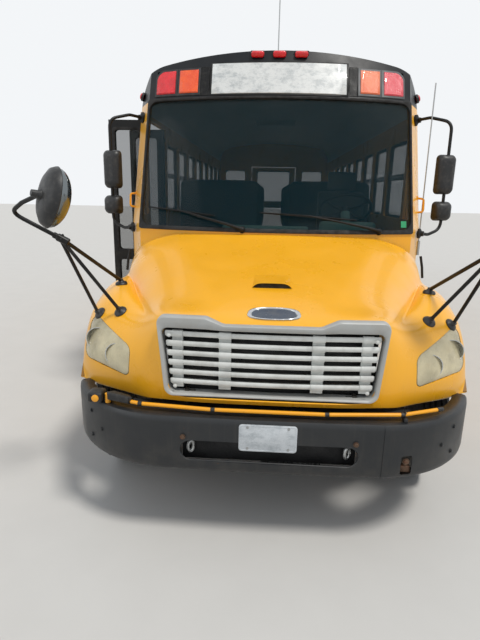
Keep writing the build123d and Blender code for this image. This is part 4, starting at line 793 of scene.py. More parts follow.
def grille_bar(shape, ends, z, height, depth, inset):
    """One slat that follows the grille's bow, rounded in front and thinner behind."""
    x0, x1 = sorted(ends)
    count = max(2, int((x1 - x0) / .06))
    half = height / 2
    profile = [(depth, half * .35), (.012, half * .8), (.004, half), (0, half * .6), (-.001, 0),
               (.001, -half * .6), (.006, -half), (.014, -half * .95), (depth, -half * .1)]
    shape.skin([[grille_place(x0 + (x1 - x0) * k / count, inset + d, z + h) for d, h in profile]
                for k in range(count + 1)], wrap_points=True, cap=True)


def grille_pieces():
    """Surround, slats and the dark screen behind them."""
    surround, slats, mesh = shapes(3)
    pairs = list(zip(mirrored_outline(surround_outer), mirrored_outline(surround_inner)))
    surround.skin([[grille_place(a.lerp(b, t).x, depth, a.lerp(b, t).y) for a, b in pairs]
                   for t, depth in surround_profile], wrap_points=True)
    surround.make("grille_surround", "hood", silver_frame, replaces=["grille"])
    for z in bar_zs:
        reach = .572 - .034 * (1.216 - z) / .342
        grille_bar(slats, (-reach, reach), z, bar_height, .042, .012)
        for side in sides.values():
            for x0, x1 in ((panel_x, reach - .006), strap_xs):
                grille_bar(slats, (side * x0, side * x1), z, bar_height + .006, .040, .008)
    for side in sides.values():
        for x0, x1 in plate_xs:
            low, high = sorted((side * x0, side * x1))
            y = grille_place((low + high) / 2, .034, 0).y
            slats.box((low, y, plate_zs[0]), (high, y + .008, plate_zs[1]), .003)
        slats.bolts([grille_place(side * x, -.004, z) for x, z in grille_bolts], (0, -1, 0), .008, .006)
    slats.make("grille_slats", "hood", silver)
    mesh.skin([[grille_place(screen_half * (k - 6) / 6, .075, z) for z in screen_zs] for k in range(13)])
    modified(mesh.make("grille_screen", "hood", screen_mesh), "SOLIDIFY", thickness=.004)


grille_pieces()


# Hood trim: pull slit, blank oval badge, mirror feet

badge_center = (.008, 1.290)
badge_half = (.145, .021)
badge_power = 2 / 2.6
badge_rim = [(1.0, -.004), (1.0, .004), (.97, .009), (.90, .011), (.84, .008), (.82, .004)]
badge_field = [(.83, .0045), (.5, .006), (.1, .0065)]
slit_x = -.006
slit_half = .112
slit_ds = (.540, .740)
slit_rise = .032
slit_drop = .040
mirror_feet = {"rear": (1.020, .870), "front": (.925, .525), "outer": (1.080, .600)}
foot_profile = [(0, .040), (.010, .040), (.018, .034), (.022, .022), (.030, .016), (.040, .014)]


def badge_rings(rings):
    """The badge's outline drawn to sizes, each lifted off the hood's skin."""
    rows = []
    for size, lift in rings:
        row = []
        for spot in circle(48):
            x, z = [middle + half * size * math.copysign(abs(s) ** badge_power, s)
                    for middle, half, s in zip(badge_center, badge_half, spot)]
            place, normal = front_hit(hood_tree, x, z)
            row.append(place + normal * lift)
        rows.append(row)
    return rows


def badge_piece():
    """Oval badge with a bright rim and a blank dark field."""
    shape = Shape()
    shape.skin(badge_rings(badge_rim), wrap_points=True)
    shape.paint = 1
    field = badge_rings(badge_field)
    shape.skin(field, wrap_points=True)
    shape.lid(field[-1])
    shape.make("hood_badge", "hood", chrome, badge_blue)


def slit_piece():
    """Pull slit under a raised lip, where the hood is lifted."""
    shape = Shape()
    lip = []
    across = [k / 8 - 1 for k in range(17)]
    for v in [j / 8 for j in range(9)]:
        row = []
        for u in across:
            x = slit_x + slit_half * (1.06 - .10 * v) * u
            place, normal = top_hit(hood_tree, x, slit_ds[0] + (slit_ds[1] - slit_ds[0]) * v)
            swell = (1 - v) ** 1.5 * (1 - abs(u) ** 6) * slit_rise
            row.append(place + normal * (swell + .0006 - .0016 * (v > .93)))
        lip.append(row)
    shape.skin(lip)
    low = [p + Vector((0, .002, -slit_drop * max(.05, 1 - abs(u) ** 6))) for p, u in zip(lip[0], across)]
    # The slit's back wall is coloured near black: painted shade under the lip.
    shape.paint = 1
    shape.skin([lip[0], [p + Vector((0, .012, 0)) for p in lip[0]],
                [p + Vector((0, .010, 0)) for p in low], low])
    shape.make("hood_slit", "hood", yellow, slit_painted_shade, crease=50)


def mirror_feet_piece():
    """Round black feet of the crossview mirrors' legs; gives the places where the legs end."""
    shape = Shape()
    places = {}
    for side in sides.values():
        for name, (x, d) in mirror_feet.items():
            place, normal = top_hit(hood_tree, side * x, d)
            places[side, name] = place + normal * .022
            shape.lathe(place - normal * .006, normal, foot_profile, 28)
            shape.heads([place + normal * .012 + Vector((0, step, 0)) for step in (.03, -.03)],
                        normal, .007, .006, 6)
    shape.make("mirror_feet", "hood", black_plastic)
    return places


badge_piece()
slit_piece()
leg_ends = mirror_feet_piece()


# Crossview mirrors: an oval dome in a black shell on an elbowed tube with a clamp

dome_center = (1.140, .150, 1.885)
dome_normal = Vector((-.714, .654, -.233)).normalized()
dome_half = (.125, .155)
dome_shell = [(.05, -.052), (.35, -.050), (.70, -.040), (.92, -.022), (1.0, 0), (1.02, .008), (.99, .012)]
dome_turns = [math.pi / 2 * j / 9 for j in range(10)]
dome_glass = [(max(.985 * math.cos(t), .01), .010 + .085 * math.sin(t)) for t in dome_turns]
elbow = (1.435, .300, 1.800)
clamp = (1.175, .345, 1.655)


def crossview_pieces():
    """Both crossview mirrors with their tubes."""
    tubes, heads = shapes(2)
    for side in sides.values():
        center, e, c = [at(side * x, d, z) for x, d, z in (dome_center, elbow, clamp)]
        out = dome_normal * Vector((side, 1, 1))
        up = Vector((-side * .18, 0, 1))
        up = (up - out * up.dot(out)).normalized()
        across = out.cross(up)
        shell, glass = [[[center + across * dome_half[0] * size * cos + up * dome_half[1] * size * sin
                          + out * rise for cos, sin in circle(48)] for size, rise in rings]
                        for rings in (dome_shell, dome_glass)]
        heads.skin(shell, wrap_points=True)
        heads.lid(shell[0])
        heads.paint = 1
        heads.skin(glass, wrap_points=True)
        heads.lid(glass[-1])
        heads.paint = 0
        behind = center - out * .055
        tubes.tube(bent([behind, behind.lerp(e, .55) + Vector((0, -.01, .01)), e, e.lerp(c, .5), c,
                         leg_ends[side, "rear"]], .05), .0115, 14)
        tubes.tube([c + Vector((side * .012, -.012, .012)), leg_ends[side, "front"]], .0105, 14)
        tubes.tube([c + Vector((side * .02, .012, .004)), leg_ends[side, "outer"]], .0105, 14)
        tubes.lathe(c, c - e, [(-.035, .018), (-.03, .022), (.03, .022), (.035, .018)], 18)
        tubes.lathe(c.lerp(e, .12), c - e, [(-.02, .017), (.02, .017)], 18)
        tubes.heads([c + Vector((0, 0, .02)), c + Vector((0, -.02, 0))], (0, -.3, 1), .009, .012, 6)
        heads.lathe(behind + out * .02, -out, [(0, .034), (.018, .030), (.03, .020), (.06, .016)], 20)
    tubes.make("crossview_tubes", "hood", satin_black, replaces=["crossview_mirrors"])
    heads.make("crossview_heads", "hood", black_plastic, dark_mirror)


crossview_pieces()


# Side mirrors: a bent tube on each pillar with a tall flat head over a small convex one

mirror_heads = [((1.945, 2.255), (1.295, 1.450), .060), ((1.732, 1.888), (1.300, 1.455), .070)]
mirror_route = [(1.172, 2.150, 2.545), (1.25, 2.03, 2.550), (1.385, 1.905, 2.500), (1.385, 1.895, 1.665),
                (1.27, 1.83, 1.622), (1.196, 1.775, 1.632)]
mirror_brackets = [((1.160, 2.16, 2.545), [(0, .045), (.018, .045), (.03, .024), (.05, .02)]),
                   ((1.178, 1.79, 1.632), [(0, .040), (.016, .040), (.028, .022), (.045, .02)])]
head_d = 1.915
head_turn = 14


def mirror_head(shape, side, z_pair, x_pair, depth):
    """One head: a rounded shell ahead of its glass, turned a little towards the driver."""
    center = at(side * sum(x_pair) / 2, head_d, sum(z_pair) / 2)
    half_w, half_h = (x_pair[1] - x_pair[0]) / 2, (z_pair[1] - z_pair[0]) / 2
    turn = Matrix.Rotation(math.radians(side * head_turn), 3, "Z")
    outline = rounded([(-half_w, -half_h), (half_w, -half_h), (half_w, half_h), (-half_w, half_h)],
                      [.035] * 4)

    def ring(size, d):
        """The outline drawn in by the same width all round."""
        inset = half_w * (1 - size)
        spots = [[s - math.copysign(min(abs(s), inset), s) for s in p] for p in outline]
        return [center + turn @ Vector((x, d, z)) for x, z in spots]

    rows = [ring(.35, -depth), ring(.62, -depth * .93), ring(.86, -depth * .68), ring(.97, -depth * .3),
            ring(1.0, 0), ring(1.0, .012), ring(.94, .014), ring(.92, .008)]
    shape.paint = 0
    shape.skin(rows, wrap_points=True)
    shape.lid(rows[0])
    shape.paint = 1
    shape.lid(ring(.93, .009))


def side_mirror_pieces():
    """Tubes, brackets and heads of both side mirrors."""
    tubes, heads = shapes(2)
    for side in sides.values():
        tubes.tube(bent([at(side * x, d, z) for x, d, z in mirror_route], .09, 8), .0125, 14)
        for (x, d, z), profile in mirror_brackets:
            tubes.lathe(at(side * x, d, z), (side, -.6, 0), profile, 24)
        for z_pair, x_pair, depth in mirror_heads:
            mirror_head(heads, side, z_pair, x_pair, depth)
            tubes.lathe(at(side * mirror_route[2][0], 1.9, sum(z_pair) / 2 - .03), (0, 0, 1),
                        [(0, .019), (.06, .019)], 18)
    tubes.make("side_mirror_tubes", "root", satin_black, replaces=["side_mirrors"])
    heads.make("side_mirror_heads", "root", black_plastic, mirror_glass)


side_mirror_pieces()


# Front bumper: a rolled channel with its slot, a seam, an open bolt hole and worn edges

bumper_profile = [(.085, .462), (.034, .462), (.014, .468), (.004, .482), (0, .505), (0, .742),
                  (.003, .762), (.012, .775), (.030, .780), (.085, .780)]
bumper_end = (1.183, .470)
bumper_bow = (.946, .140)
bumper_flat = (.520, .010)
slot_half = (.475, .060)
slot_z = .588
seam_x = .620
bolt_hole = ((.700, .762), (.487, .598))
rusty_bolt = (.455, .668)
bumper_bolts = [rusty_bolt, (.94, .62), (1.02, .70), (1.02, .55)]


def plan_rows(plan, profile, lift=0.0):
    """Points of a profile carried along a plan, set square to it."""
    rows = []
    for i, p in enumerate(plan):
        along = (plan[min(i + 1, len(plan) - 1)] - plan[max(i - 1, 0)]).normalized()
        inward = Vector((-along.y, along.x))
        rows.append([at(*(p + inward * (depth - lift)), z) for depth, z in profile])
    return rows


def slot_outline(wider):
    """The bumper's long slot with its round ends."""
    half, radius = slot_half[0] + wider, slot_half[1] + wider
    turns = [math.pi * k / 14 - math.pi / 2 for k in range(15)]
    return [(end * (half - radius + radius * math.cos(t)), slot_z + end * radius * math.sin(t))
            for end in (1, -1) for t in turns]


def front_bumper_pieces():
    """Bumper face with its slot, rolled lip, seam and bolts."""
    face, trim, rust = shapes(3)
    wing = arc_through(bumper_flat, bumper_bow, bumper_end, 22)
    middle = arc_through((-bumper_flat[0], bumper_flat[1]), (0, 0), bumper_flat, 24)
    plan = [Vector((-p.x, p.y)) for p in reversed(wing)] + middle[1:-1] + wing
    face.skin(plan_rows(plan, bumper_profile))
    bumper = face.make("bumper_face", "root", bumper_black, replaces=["front_bumper"])
    modified(bumper, "SOLIDIFY", thickness=.007, offset=-1.0)
    tree = surface_of(bumper)
    (hx0, hx1), (hz0, hz1) = bolt_hole
    hole = rounded([(hx0, hz0), (hx1, hz0), (hx1, hz1), (hx0, hz1)], [.012] * 4, 4)
    cut_through(bumper, [slot_outline(0), hole], -.05, .12)
    trim.tube([front_hit(tree, x, z)[0] + Vector((0, .006, 0)) for x, z in slot_outline(.002)], .007, 10,
              closed=True)
    trim.skin(plan_rows([p for p in plan if abs(p.x - seam_x) < .03], bumper_profile[1:-1], .0025))
    for side in sides.values():
        for x, z in bumper_bolts:
            place, normal = front_hit(tree, side * x, z)
            trim.bolts([place], normal, .010, .008)
    trim.make("bumper_trim", "root", bumper_black)
    place = front_hit(tree, (hx0 + hx1) / 2, .54)[0]
    rust.box(place + Vector((-.03, .02, -.05)), place + Vector((.028, .05, -.01)), .004)
    rust.bolts([place + Vector((0, .012, .02))], (0, -1, 0), .014, .012)
    rust.bolts([at(side * rusty_bolt[0], .002, rusty_bolt[1]) for side in sides.values()], (0, -1, 0), .011,
               .010)
    rust.make("bumper_rust", "root", rusty_steel)


front_bumper_pieces()


# Wheels: ribbed steer tyres, lugged drive tyres, steel discs with nuts

tyre_section = [(-.098, .296), (-.110, .318), (-.121, .360), (-.124, .395), (-.121, .430), (-.113, .458),
                (-.104, .474), (-.096, .486), (-.090, .495)]
tyre_beads = [(.452, .1145, .0022), (.330, .1130, .003)]
bead_seat = (.098, .296)
steer_ribs = [(-.090, -.058), (-.048, -.020), (-.010, .010), (.020, .048), (.058, .090)]
drive_ribs = [(-.092, -.040), (-.030, -.004), (.004, .030), (.040, .092)]
groove_depth = .013
tyre_steps = 160
barrel_profile = [(-.106, .300), (-.109, .308), (-.104, .306), (-.098, .290), (-.090, .282), (-.075, .279),
                  (-.050, .262), (.050, .262), (.075, .279), (.090, .282), (.098, .290), (.104, .306),
                  (.109, .308), (.106, .300)]
disc_profile = [(-.020, .262), (-.004, .250), (0, .236), (0, .200), (0, .178), (-.006, .165),
                (-.006, .100), (-.004, .060)]
disc_steps = 80
nut_count = 10
nut_circle = .1425
hub_circle = .052


def tyre(shape, center, drive):
    """One tyre: sidewalls, and ribs parted by grooves and cross cuts."""
    pitch, tread_cut, wall_cut = (4, groove_depth * .9, .007) if drive else (5, groove_depth * .35, .002)
    profile = [(x, r, False) for x, r in tyre_section]
    for x0, x1 in drive_ribs if drive else steer_ribs:
        top0, top1 = [tyre_radius - .006 * (abs(x) / .09) ** 2 for x in (x0, x1)]
        profile += [(x0, tyre_radius - groove_depth, False), (x0 + .0015, top0, True),
                    (x1 - .0015, top1, True), (x1, tyre_radius - groove_depth, False)]
    profile += [(-x, r, False) for x, r in reversed(tyre_section)]
    rows = []
    for k, (c, s) in enumerate(circle(tyre_steps)):
        ring = []
        for x, r, tread in profile:
            if (k + (2 if x > 0 and drive else 0)) % pitch == 0:
                if tread:
                    r -= tread_cut
                elif abs(x) > .088 and r > .47:
                    r -= wall_cut
            ring.append(center + Vector((x, c * r, s * r)))
        rows.append(ring)
    shape.skin(rows, wrap_rows=True)
    half, radius = bead_seat
    shape.skin([[center + Vector((x, c * radius, s * radius)) for c, s in circle(48)] for x in (-half, half)],
               wrap_points=True)
    for face in (-1, 1):
        for radius, x, rise in tyre_beads:
            ring = [(-.003, radius - .003), (rise, radius - .0015), (rise, radius + .0015),
                    (-.003, radius + .003)]
            shape.lathe(center + Vector((face * x, 0, 0)), (face, 0, 0), ring, 96, cap=False)


def wheel_rim(shape, center, out, dish):
    """One steel rim: its barrel with rolled flanges, and a dished disc with hand holes."""
    shape.lathe(center, (out, 0, 0), barrel_profile, 64, cap=False)
    points = [center + Vector((out * (dish + x), c * r, s * r)) for x, r in disc_profile
              for c, s in circle(disc_steps)]
    faces = []
    for r in range(len(disc_profile) - 1):
        for k in range(disc_steps):
            if r not in (2, 3) or k % 8 not in (2, 3, 4):
                a, b = r * disc_steps + k, r * disc_steps + (k + 1) % disc_steps
                faces.append((a, b, b + disc_steps, a + disc_steps))
    shape.add(points, faces)
    shape.paint = 1
    for k in range(nut_count):
        t = 2 * math.pi * (k + .5) / nut_count
        nut = center + Vector((out * (dish - .006), math.cos(t) * nut_circle, math.sin(t) * nut_circle))
        shape.bolts([nut], (out, 0, 0), .017, .026)
        shape.lathe(nut, (out, 0, 0), [(0, .010), (.040, .010), (.042, .008)], 12)
    shape.paint = 0


def wheel_pieces(name, side, end, axle_d, wheels, hub_x, hub_end):
    """Tyres and rims of one wheel or twin; wheels holds (place, dish) pairs."""
    tyres, rims = shapes(2)
    drive = len(wheels) > 1
    for x, dish in wheels:
        center = at(side * x, axle_d, tyre_radius)
        tyre(tyres, center, drive)
        wheel_rim(rims, center, side, dish)
    rims.lathe(at(side * hub_x, axle_d, tyre_radius), (side, 0, 0),
               [(-.06, .100), (0, .100), (.012, .092), (hub_end * .6, .080), (hub_end * .85, .074),
                (hub_end, .062), (hub_end + .004, .02)], 40)
    if drive:
        rims.heads([at(side * (hub_x + hub_end), axle_d + hub_circle * c, tyre_radius + hub_circle * s)
                    for c, s in circle(8)], (side, 0, 0), .008, .008, 6)
    body, plural = (f"rear_wheels_{name}", "s") if drive else (f"front_wheel_{name}", "")
    tyres.make(f"{end}_treads_{name}", body, tyre_rubber, replaces=[f"{end}_tyre{plural}_{name}"],
               crease=40)
    rims.make(f"{end}_discs_{name}", body, rim_paint, plated_steel, replaces=[f"{end}_rim{plural}_{name}"])


for name, side in sides.items():
    wheel_pieces(name, side, "front", front_axle_d, [(1.020, .060)], 1.075, .070)
    wheel_pieces(name, side, "rear", rear_axle_d, [(1.045, -.1455), (.730, .1455)], .905, .115)


# Front of the body: the windshield's rubber, warning lamps, sign, markers, wipers and grab loops

bow = windshield_corner_d - windshield_center_d
bow_radius = (windshield_corner_x ** 2 + bow ** 2) / (2 * bow)
pillar_place = (1.190, 1.845)
sign_half = .536
sign_zs = (2.686, 2.928)
lamp_zs = (2.692, 2.896)
lamp_xs = {"amber": (.640, .815), "red": (.835, 1.015)}
red_lamp_clip = .055
clip_reach = .07
lamp_strip_xs = (.556, .630)
marker_xs = (-.173, 0, .173)
marker_z = 2.992
clearance_lamp = (1.190, 2.290, 2.735)
rear_lamp_places = {"red": [(.900, 2.640, .090), (.980, 1.250, .090)],
                    "amber": [(.690, 2.640, .090), (.760, 1.250, .070)]}
corner_steps = 6
# Pivot, lower end and upper end of each wiper, as (x, z)
wipers = [((-.241, 1.655), (-1.000, 1.801), (-.455, 1.751)), ((.801, 1.655), (-.110, 1.781), (.623, 1.737))]
plate_box = (-.157, .148, .605, .757)


def front_place(x, z, proud=0.0):
    """A point on the body's raked front, moved out along its normal."""
    if abs(x) <= windshield_corner_x:
        run = math.sqrt(bow_radius ** 2 - x * x)
        lean = x / run
        d = windshield_center_d + bow_radius - run
    else:
        slope = (pillar_place[1] - windshield_corner_d) / (pillar_place[0] - windshield_corner_x)
        lean = math.copysign(slope, x)
        d = windshield_corner_d + (abs(x) - windshield_corner_x) * slope
    normal = Vector((lean, -1.0, rake)).normalized()
    return at(x, d + rake * (z - windshield_foot_z), z) + normal * proud


def framed(a0, a1, z0, z1, radius, side_steps):
    """A rounded rectangle as (across, height) pairs, with points along its sides too."""
    spots = [(a1 - radius, z0 + radius, -90), (a1 - radius, z1 - radius, 0),
             (a0 + radius, z1 - radius, 90), (a0 + radius, z0 + radius, 180)]
    points = []
    for i, (ca, cz, start) in enumerate(spots):
        for k in range(corner_steps + 1):
            t = math.radians(start + 90 * k / corner_steps)
            points.append((ca + radius * math.cos(t), cz + radius * math.sin(t)))
        next_a, next_z, next_start = spots[(i + 1) % 4]
        t = math.radians(next_start)
        end = (next_a + radius * math.cos(t), next_z + radius * math.sin(t))
        last = points[-1]
        points += [blend(last, end, k / side_steps) for k in range(1, side_steps)]
    return points


def gasket(shape, place, outer, inner, proud, depth):
    """A rubber ring between two outlines; place turns (across, height, proud) into a point."""
    middle = [blend(a, b, .5) for a, b in zip(outer, inner)]
    rows = [[place(a, z, -.004) for a, z in outer], [place(a, z, proud * .7) for a, z in outer],
            [place(a, z, proud) for a, z in middle], [place(a, z, proud * .6) for a, z in inner],
            [place(a, z, -depth) for a, z in inner]]
    shape.skin(rows, wrap_points=True)


def front_sheet(shape, x0, x1, z0, z1, rise, edge, columns=10, clip=0.0):
    """A panel on the front with rounded rims; clip lowers its outer top corner."""
    outer = max(abs(x0), abs(x1))
    rows = []
    for k in range(columns + 1):
        x = x0 + (x1 - x0) * k / columns
        inset = edge if k in (0, columns) else 0
        top = z1 - clip * max(0.0, 1 - (outer - abs(x)) / clip_reach) ** 2
        x += edge * .6 if k == 0 else -edge * .6 if k == columns else 0
        face = rise - inset * .5
        rows.append([front_place(x, z, proud) for z, proud in
                     ((z0, -.01), (z0, rise - edge), (z0 + edge, face), ((z0 + top) / 2, face),
                      (top - edge, face), (top, rise - edge), (top, -.01))])

    def end(x):
        top = z1 - (clip if abs(x) == outer else 0)
        return [front_place(x, z, -.01) for z in (z0, z0, z0 + edge, (z0 + z1) / 2, top - edge, top, top)]

    shape.skin([end(x0)] + rows + [end(x1)])


def warning_lamp_pieces():
    """Framed lamps on the cap, round lamps on the rear, markers on the roof."""
    frames, reds, ambers = shapes(3)
    z0, z1 = lamp_zs
    for side in (-1, 1):
        for color, shape in (("red", reds), ("amber", ambers)):
            # Lamps on the right (x > 0) take the paler lens copies and grey frames: painted light on the
            # sunlit side.
            shape.paint = frames.paint = int(side > 0)
            inner, outer = lamp_xs[color]
            clip = red_lamp_clip if color == "red" else 0.0
            frame_xs = sorted((side * (inner - .012), side * (outer + .010)))
            lens_xs = sorted((side * (inner + .004), side * (outer - .006)))
            front_sheet(frames, *frame_xs, z0 - .010, z1 + .008, .008, .004, clip=clip)
            frames.paint = 0
            front_sheet(frames, *sorted(side * x for x in lamp_strip_xs), z0 - .014, z1 + .016, .003, .002)
            front_sheet(shape, *lens_xs, z0 + .008, z1 - .010, .018, .007, clip=clip)
    reds.paint = ambers.paint = 0
    tilt = Matrix.Rotation(math.atan(rake), 4, "X")
    for x in marker_xs:
        middle = front_place(x, marker_z, .010)
        reds.box(middle - Vector((.052, .026, .024)), middle + Vector((.052, .014, .024)), .018, 5, tilt)
        frames.box(middle - Vector((.058, -.006, .030)), middle + Vector((.058, .022, .030)), .005, 2, tilt)
    for side in (-1, 1):
        place = at(side * clearance_lamp[0], *clearance_lamp[1:])
        reds.lathe(place, (side, 0, .35), [(-.01, .030), (.014, .030), (.024, .024), (.030, .010)], 28)
        frames.lathe(place, (side, 0, .35), [(-.01, .037), (.010, .037), (.013, .031)], 28)
    for shape, color in ((reds, "red"), (ambers, "amber")):
        for side in (-1, 1):
            for x, z, radius in rear_lamp_places[color]:
                center = Vector((side * x, rear_y, z))
                shape.lathe(center, (0, 1, 0), [(0, radius - .006), (.012, radius - .007),
                            (.020, radius * .80), (.024, radius * .45), (.025, .004)], 40)
                frames.lathe(center, (0, 1, 0), [(0, radius + .006), (.010, radius + .006),
                             (.015, radius), (.015, radius - .006), (.004, radius - .008)], 40, cap=False)
    frames.make("lamp_frames", "root", black_plastic, grey_plastic)
    reds.make("red_lamps", "root", red_lens, red_lens_painted_light, replaces=["lamps_red"])
    ambers.make("amber_lamps", "root", amber_lens, amber_lens_painted_light, replaces=["lamps_amber"])


warning_lamp_pieces()


def sign_pieces():
    """Blank signs over the windshield and on the rear, and the blank number plate."""
    sheets, frames, plate, screws = shapes(4)
    z0, z1 = sign_zs
    front_sheet(frames, -sign_half - .018, sign_half + .018, z0 - .014, z1 + .012, .005, .003, 30)
    front_sheet(sheets, -sign_half, sign_half, z0, z1, .010, .003, 30)
    frames.box((-sign_half - .012, rear_y - .002, 2.588), (sign_half + .012, rear_y + .004, 2.812), .002)
    sheets.box((-sign_half, rear_y, 2.600), (sign_half, rear_y + .007, 2.800), .002)
    sheets.make("blank_signs", "root", white_sheet, replaces=["sign_panels"])
    frames.make("sign_frames", "root", satin_black)
    x0, x1, z0, z1 = plate_box
    plate.slab([at(x, .0012, z) for x, z in framed(x0, x1, z0, z1, .016, 4)], (0, -.0042, 0), .0012)
    ring = framed(x0 + .007, x1 - .007, z0 + .007, z1 - .007, .012, 4)
    plate.tube([at(x, -.0030, z) for x, z in ring], .0016, 8, closed=True)
    plate.make("blank_plate", "root", plate_sheet)
    screws.bolts([at(x, -.003, z) for x in (x0 + .045, x1 - .045) for z in (z0 + .016, z1 - .016)],
                 (0, -1, 0), .0055, .0028)
    screws.make("plate_screws", "root", plated_steel)


sign_pieces()


def windshield_rubber():
    """Black rubber round the windshield, wide in its corners."""
    ring = Shape()
    outer = framed(-windshield_corner_x - .008, windshield_corner_x + .008, windshield_foot_z - .012,
                   windshield_top_z + .010, .020, 40)
    inner = framed(-windshield_corner_x + .007, windshield_corner_x - .007, windshield_foot_z + .016,
                   windshield_top_z - .008, .075, 40)
    gasket(ring, front_place, outer, inner, .010, .0125)
    ring.make("windshield_rubber", "root", seal_rubber)


windshield_rubber()


def wiper_pieces():
    """Two wiper arms from their pivots with bowed blades lying on the glass."""
    arms, blades = shapes(2)
    for pivot, low, high in wipers:
        middle = blend(low, high, .5)
        arms.lathe(front_place(*pivot, -.004), (0, -1, rake),
                   [(0, .026), (.018, .024), (.030, .014), (.034, .006)], 24)
        knee = blend(pivot, middle, .22)
        arms.tube([front_place(*pivot, .020), front_place(*knee, .034),
                   front_place(*blend(knee, middle, .5), .034), front_place(*middle, .022)],
                  [.013, .010, .007, .006], 10)
        spots = [blend(low, high, k / 16) for k in range(17)]
        blades.tube([front_place(*spot, .005) for spot in spots], .0045, 8)
        arms.tube([front_place(*spot, .010 + .012 * math.sin(math.pi * k / 16))
                   for k, spot in enumerate(spots)], .0045, 8)
        for spot in spots[2::4]:
            arms.tube([front_place(*spot, .006), front_place(*spot, .018)], .005, 8)
    arms.make("wiper_arms", "root", satin_black, replaces=["wipers"])
    blades.make("wiper_blades", "root", seal_rubber)


wiper_pieces()


def front_fittings():
    """Grab loops on the pillars, hood holders, tow rings, cooler fins, the crossing arm's housing."""
    loops, trim, bright, fins, shade_sheets, sticker = shapes(6)
    for side in (-1, 1):
        route = [at(side * 1.192, 1.940, 1.795), at(side * 1.238, 1.915, 1.800),
                 at(side * 1.238, 1.935, 1.905), at(side * 1.192, 1.968, 1.910)]
        loops.tube(bent(route, .022, 5), .0085, 12)
        for place in (route[0], route[-1]):
            loops.lathe(place, (side, -.4, 0), [(0, .020), (.006, .020), (.010, .011)], 20)
        trim.tube([at(side * 1.158, 1.585, 1.470), at(side * 1.176, 1.580, 1.385),
                   at(side * 1.186, 1.575, 1.300)], .010, 10)
        ring = [at(side * .420 + .013 * c, .054 + .008 * c, slot_z + .030 * s) for c, s in circle(28)]
        bright.tube(ring, .0095, 10, closed=True)
    for k in range(14):
        x = -.030 + .0225 * k
        fins.box(at(x, .075, .468), at(x + .010, .100, .520), .002)
    fins.box(at(-.04, .095, .472), at(.29, .112, .516), .003)
    # Dark sheets behind the bumper's slot and in the gap over its top, where there is only shade: painted
    # shade.
    shade_sheets.box(at(-.468, .074, .505), at(.468, .080, .668), .002)
    shade_sheets.box(at(-.78, .084, .764), at(.78, .245, .770), .002)
    shade_sheets.make("bumper_shade_sheets", "root", screen_mesh)
    corners = [(.990, 1.690), (1.036, 1.690), (1.036, 1.738), (.990, 1.738)]
    sticker.slab([front_place(x, z, -.009) for x, z in corners], (0, .0008, 0))
    sticker.make("blank_sticker", "root", sticker_green)
    loops.make("grab_loops", "root", rod_yellow)
    trim.make("hood_holders", "root", seal_rubber)
    bright.make("tow_rings", "root", plated_steel)
    fins.make("cooler_fins", "root", plated_steel)
    housing, ends = shapes(2)
    housing.box(at(-1.010, .120, .783), at(-.925, .212, .842), .014, 3)
    housing.box(at(-.925, .150, .783), at(-.880, .205, .800), .004, 2)
    housing.bolts([at(-.99, .121, .80), at(-.99, .121, .826)], (0, -1, 0), .007, .005)
    housing.box(at(.700, .052, .778), at(.722, .100, .800), .004, 2)
    housing.tube([at(.711, .080 + .016 * math.cos(t), .812 + .016 * math.sin(t))
                  for t in [math.radians(a) for a in range(-90, 136, 15)]], .004, 8)
    ends.lathe(at(-.962, .121, .813), (0, -1, 0), [(0, .020), (.006, .020), (.010, .012)], 24)
    housing.make("crossing_arm_housing", "root", black_plastic)
    ends.make("crossing_arm_button", "root", rod_yellow)


front_fittings()


def crossing_arm_pieces():
    """Yellow rod along the bumper with its barrel, end cap and ties."""
    rod, fittings = shapes(2)
    spots = [(-.900, .150), (-.700, .080), (-.300, .042), (.300, .042), (.700, .080), (.930, .175)]
    path = bent([at(x, d, .812) for x, d in spots], .25, 8)
    rod.tube(path, .0105, 14)
    rod.lathe(at(-.900, .150, .7803), (0, 0, 1), [(0, .0155), (.052, .0155)], 28)
    fittings.lathe(path[-1], path[-1] - path[-2], [(-.03, .0125), (.004, .0125), (.010, .008)], 16)
    for x, d in spots[1:-1]:
        fittings.lathe(at(x - .011, d, .812), (1, 0, 0), [(0, .0125), (.022, .0125)], 16)
    sleeve = [at(-.905, .150, .803), at(-.895, .128, .803), at(-.765, .082, .803), at(-.750, .098, .803),
              at(-.765, .118, .803), at(-.870, .172, .803)]
    fittings.slab(sleeve, (0, 0, .040), .005)
    rod.make("crossing_rod", "crossing_arm", rod_yellow, replaces=["crossing_arm"])
    fittings.make("crossing_ties", "crossing_arm", black_plastic)


crossing_arm_pieces()


# Sides: window sashes, drip rails, seams and rivets

bay_pitch = .712
window_starts = [3.170 + bay_pitch * k for k in range(8)]
window_width = .630
window_zs = (1.720, 2.420)
driver_window = (2.370, 3.080)
sash_z = 2.075
rail_start = 2.335
rivet_pitch = .085
rivet_starts = {-1: 3.13, 1: 2.40}


def side_place(side):
    """Turns (distance, height, proud) into a point on one side wall."""
    return lambda d, z, proud=0.0: at(side * (half_width + proud), d, z)


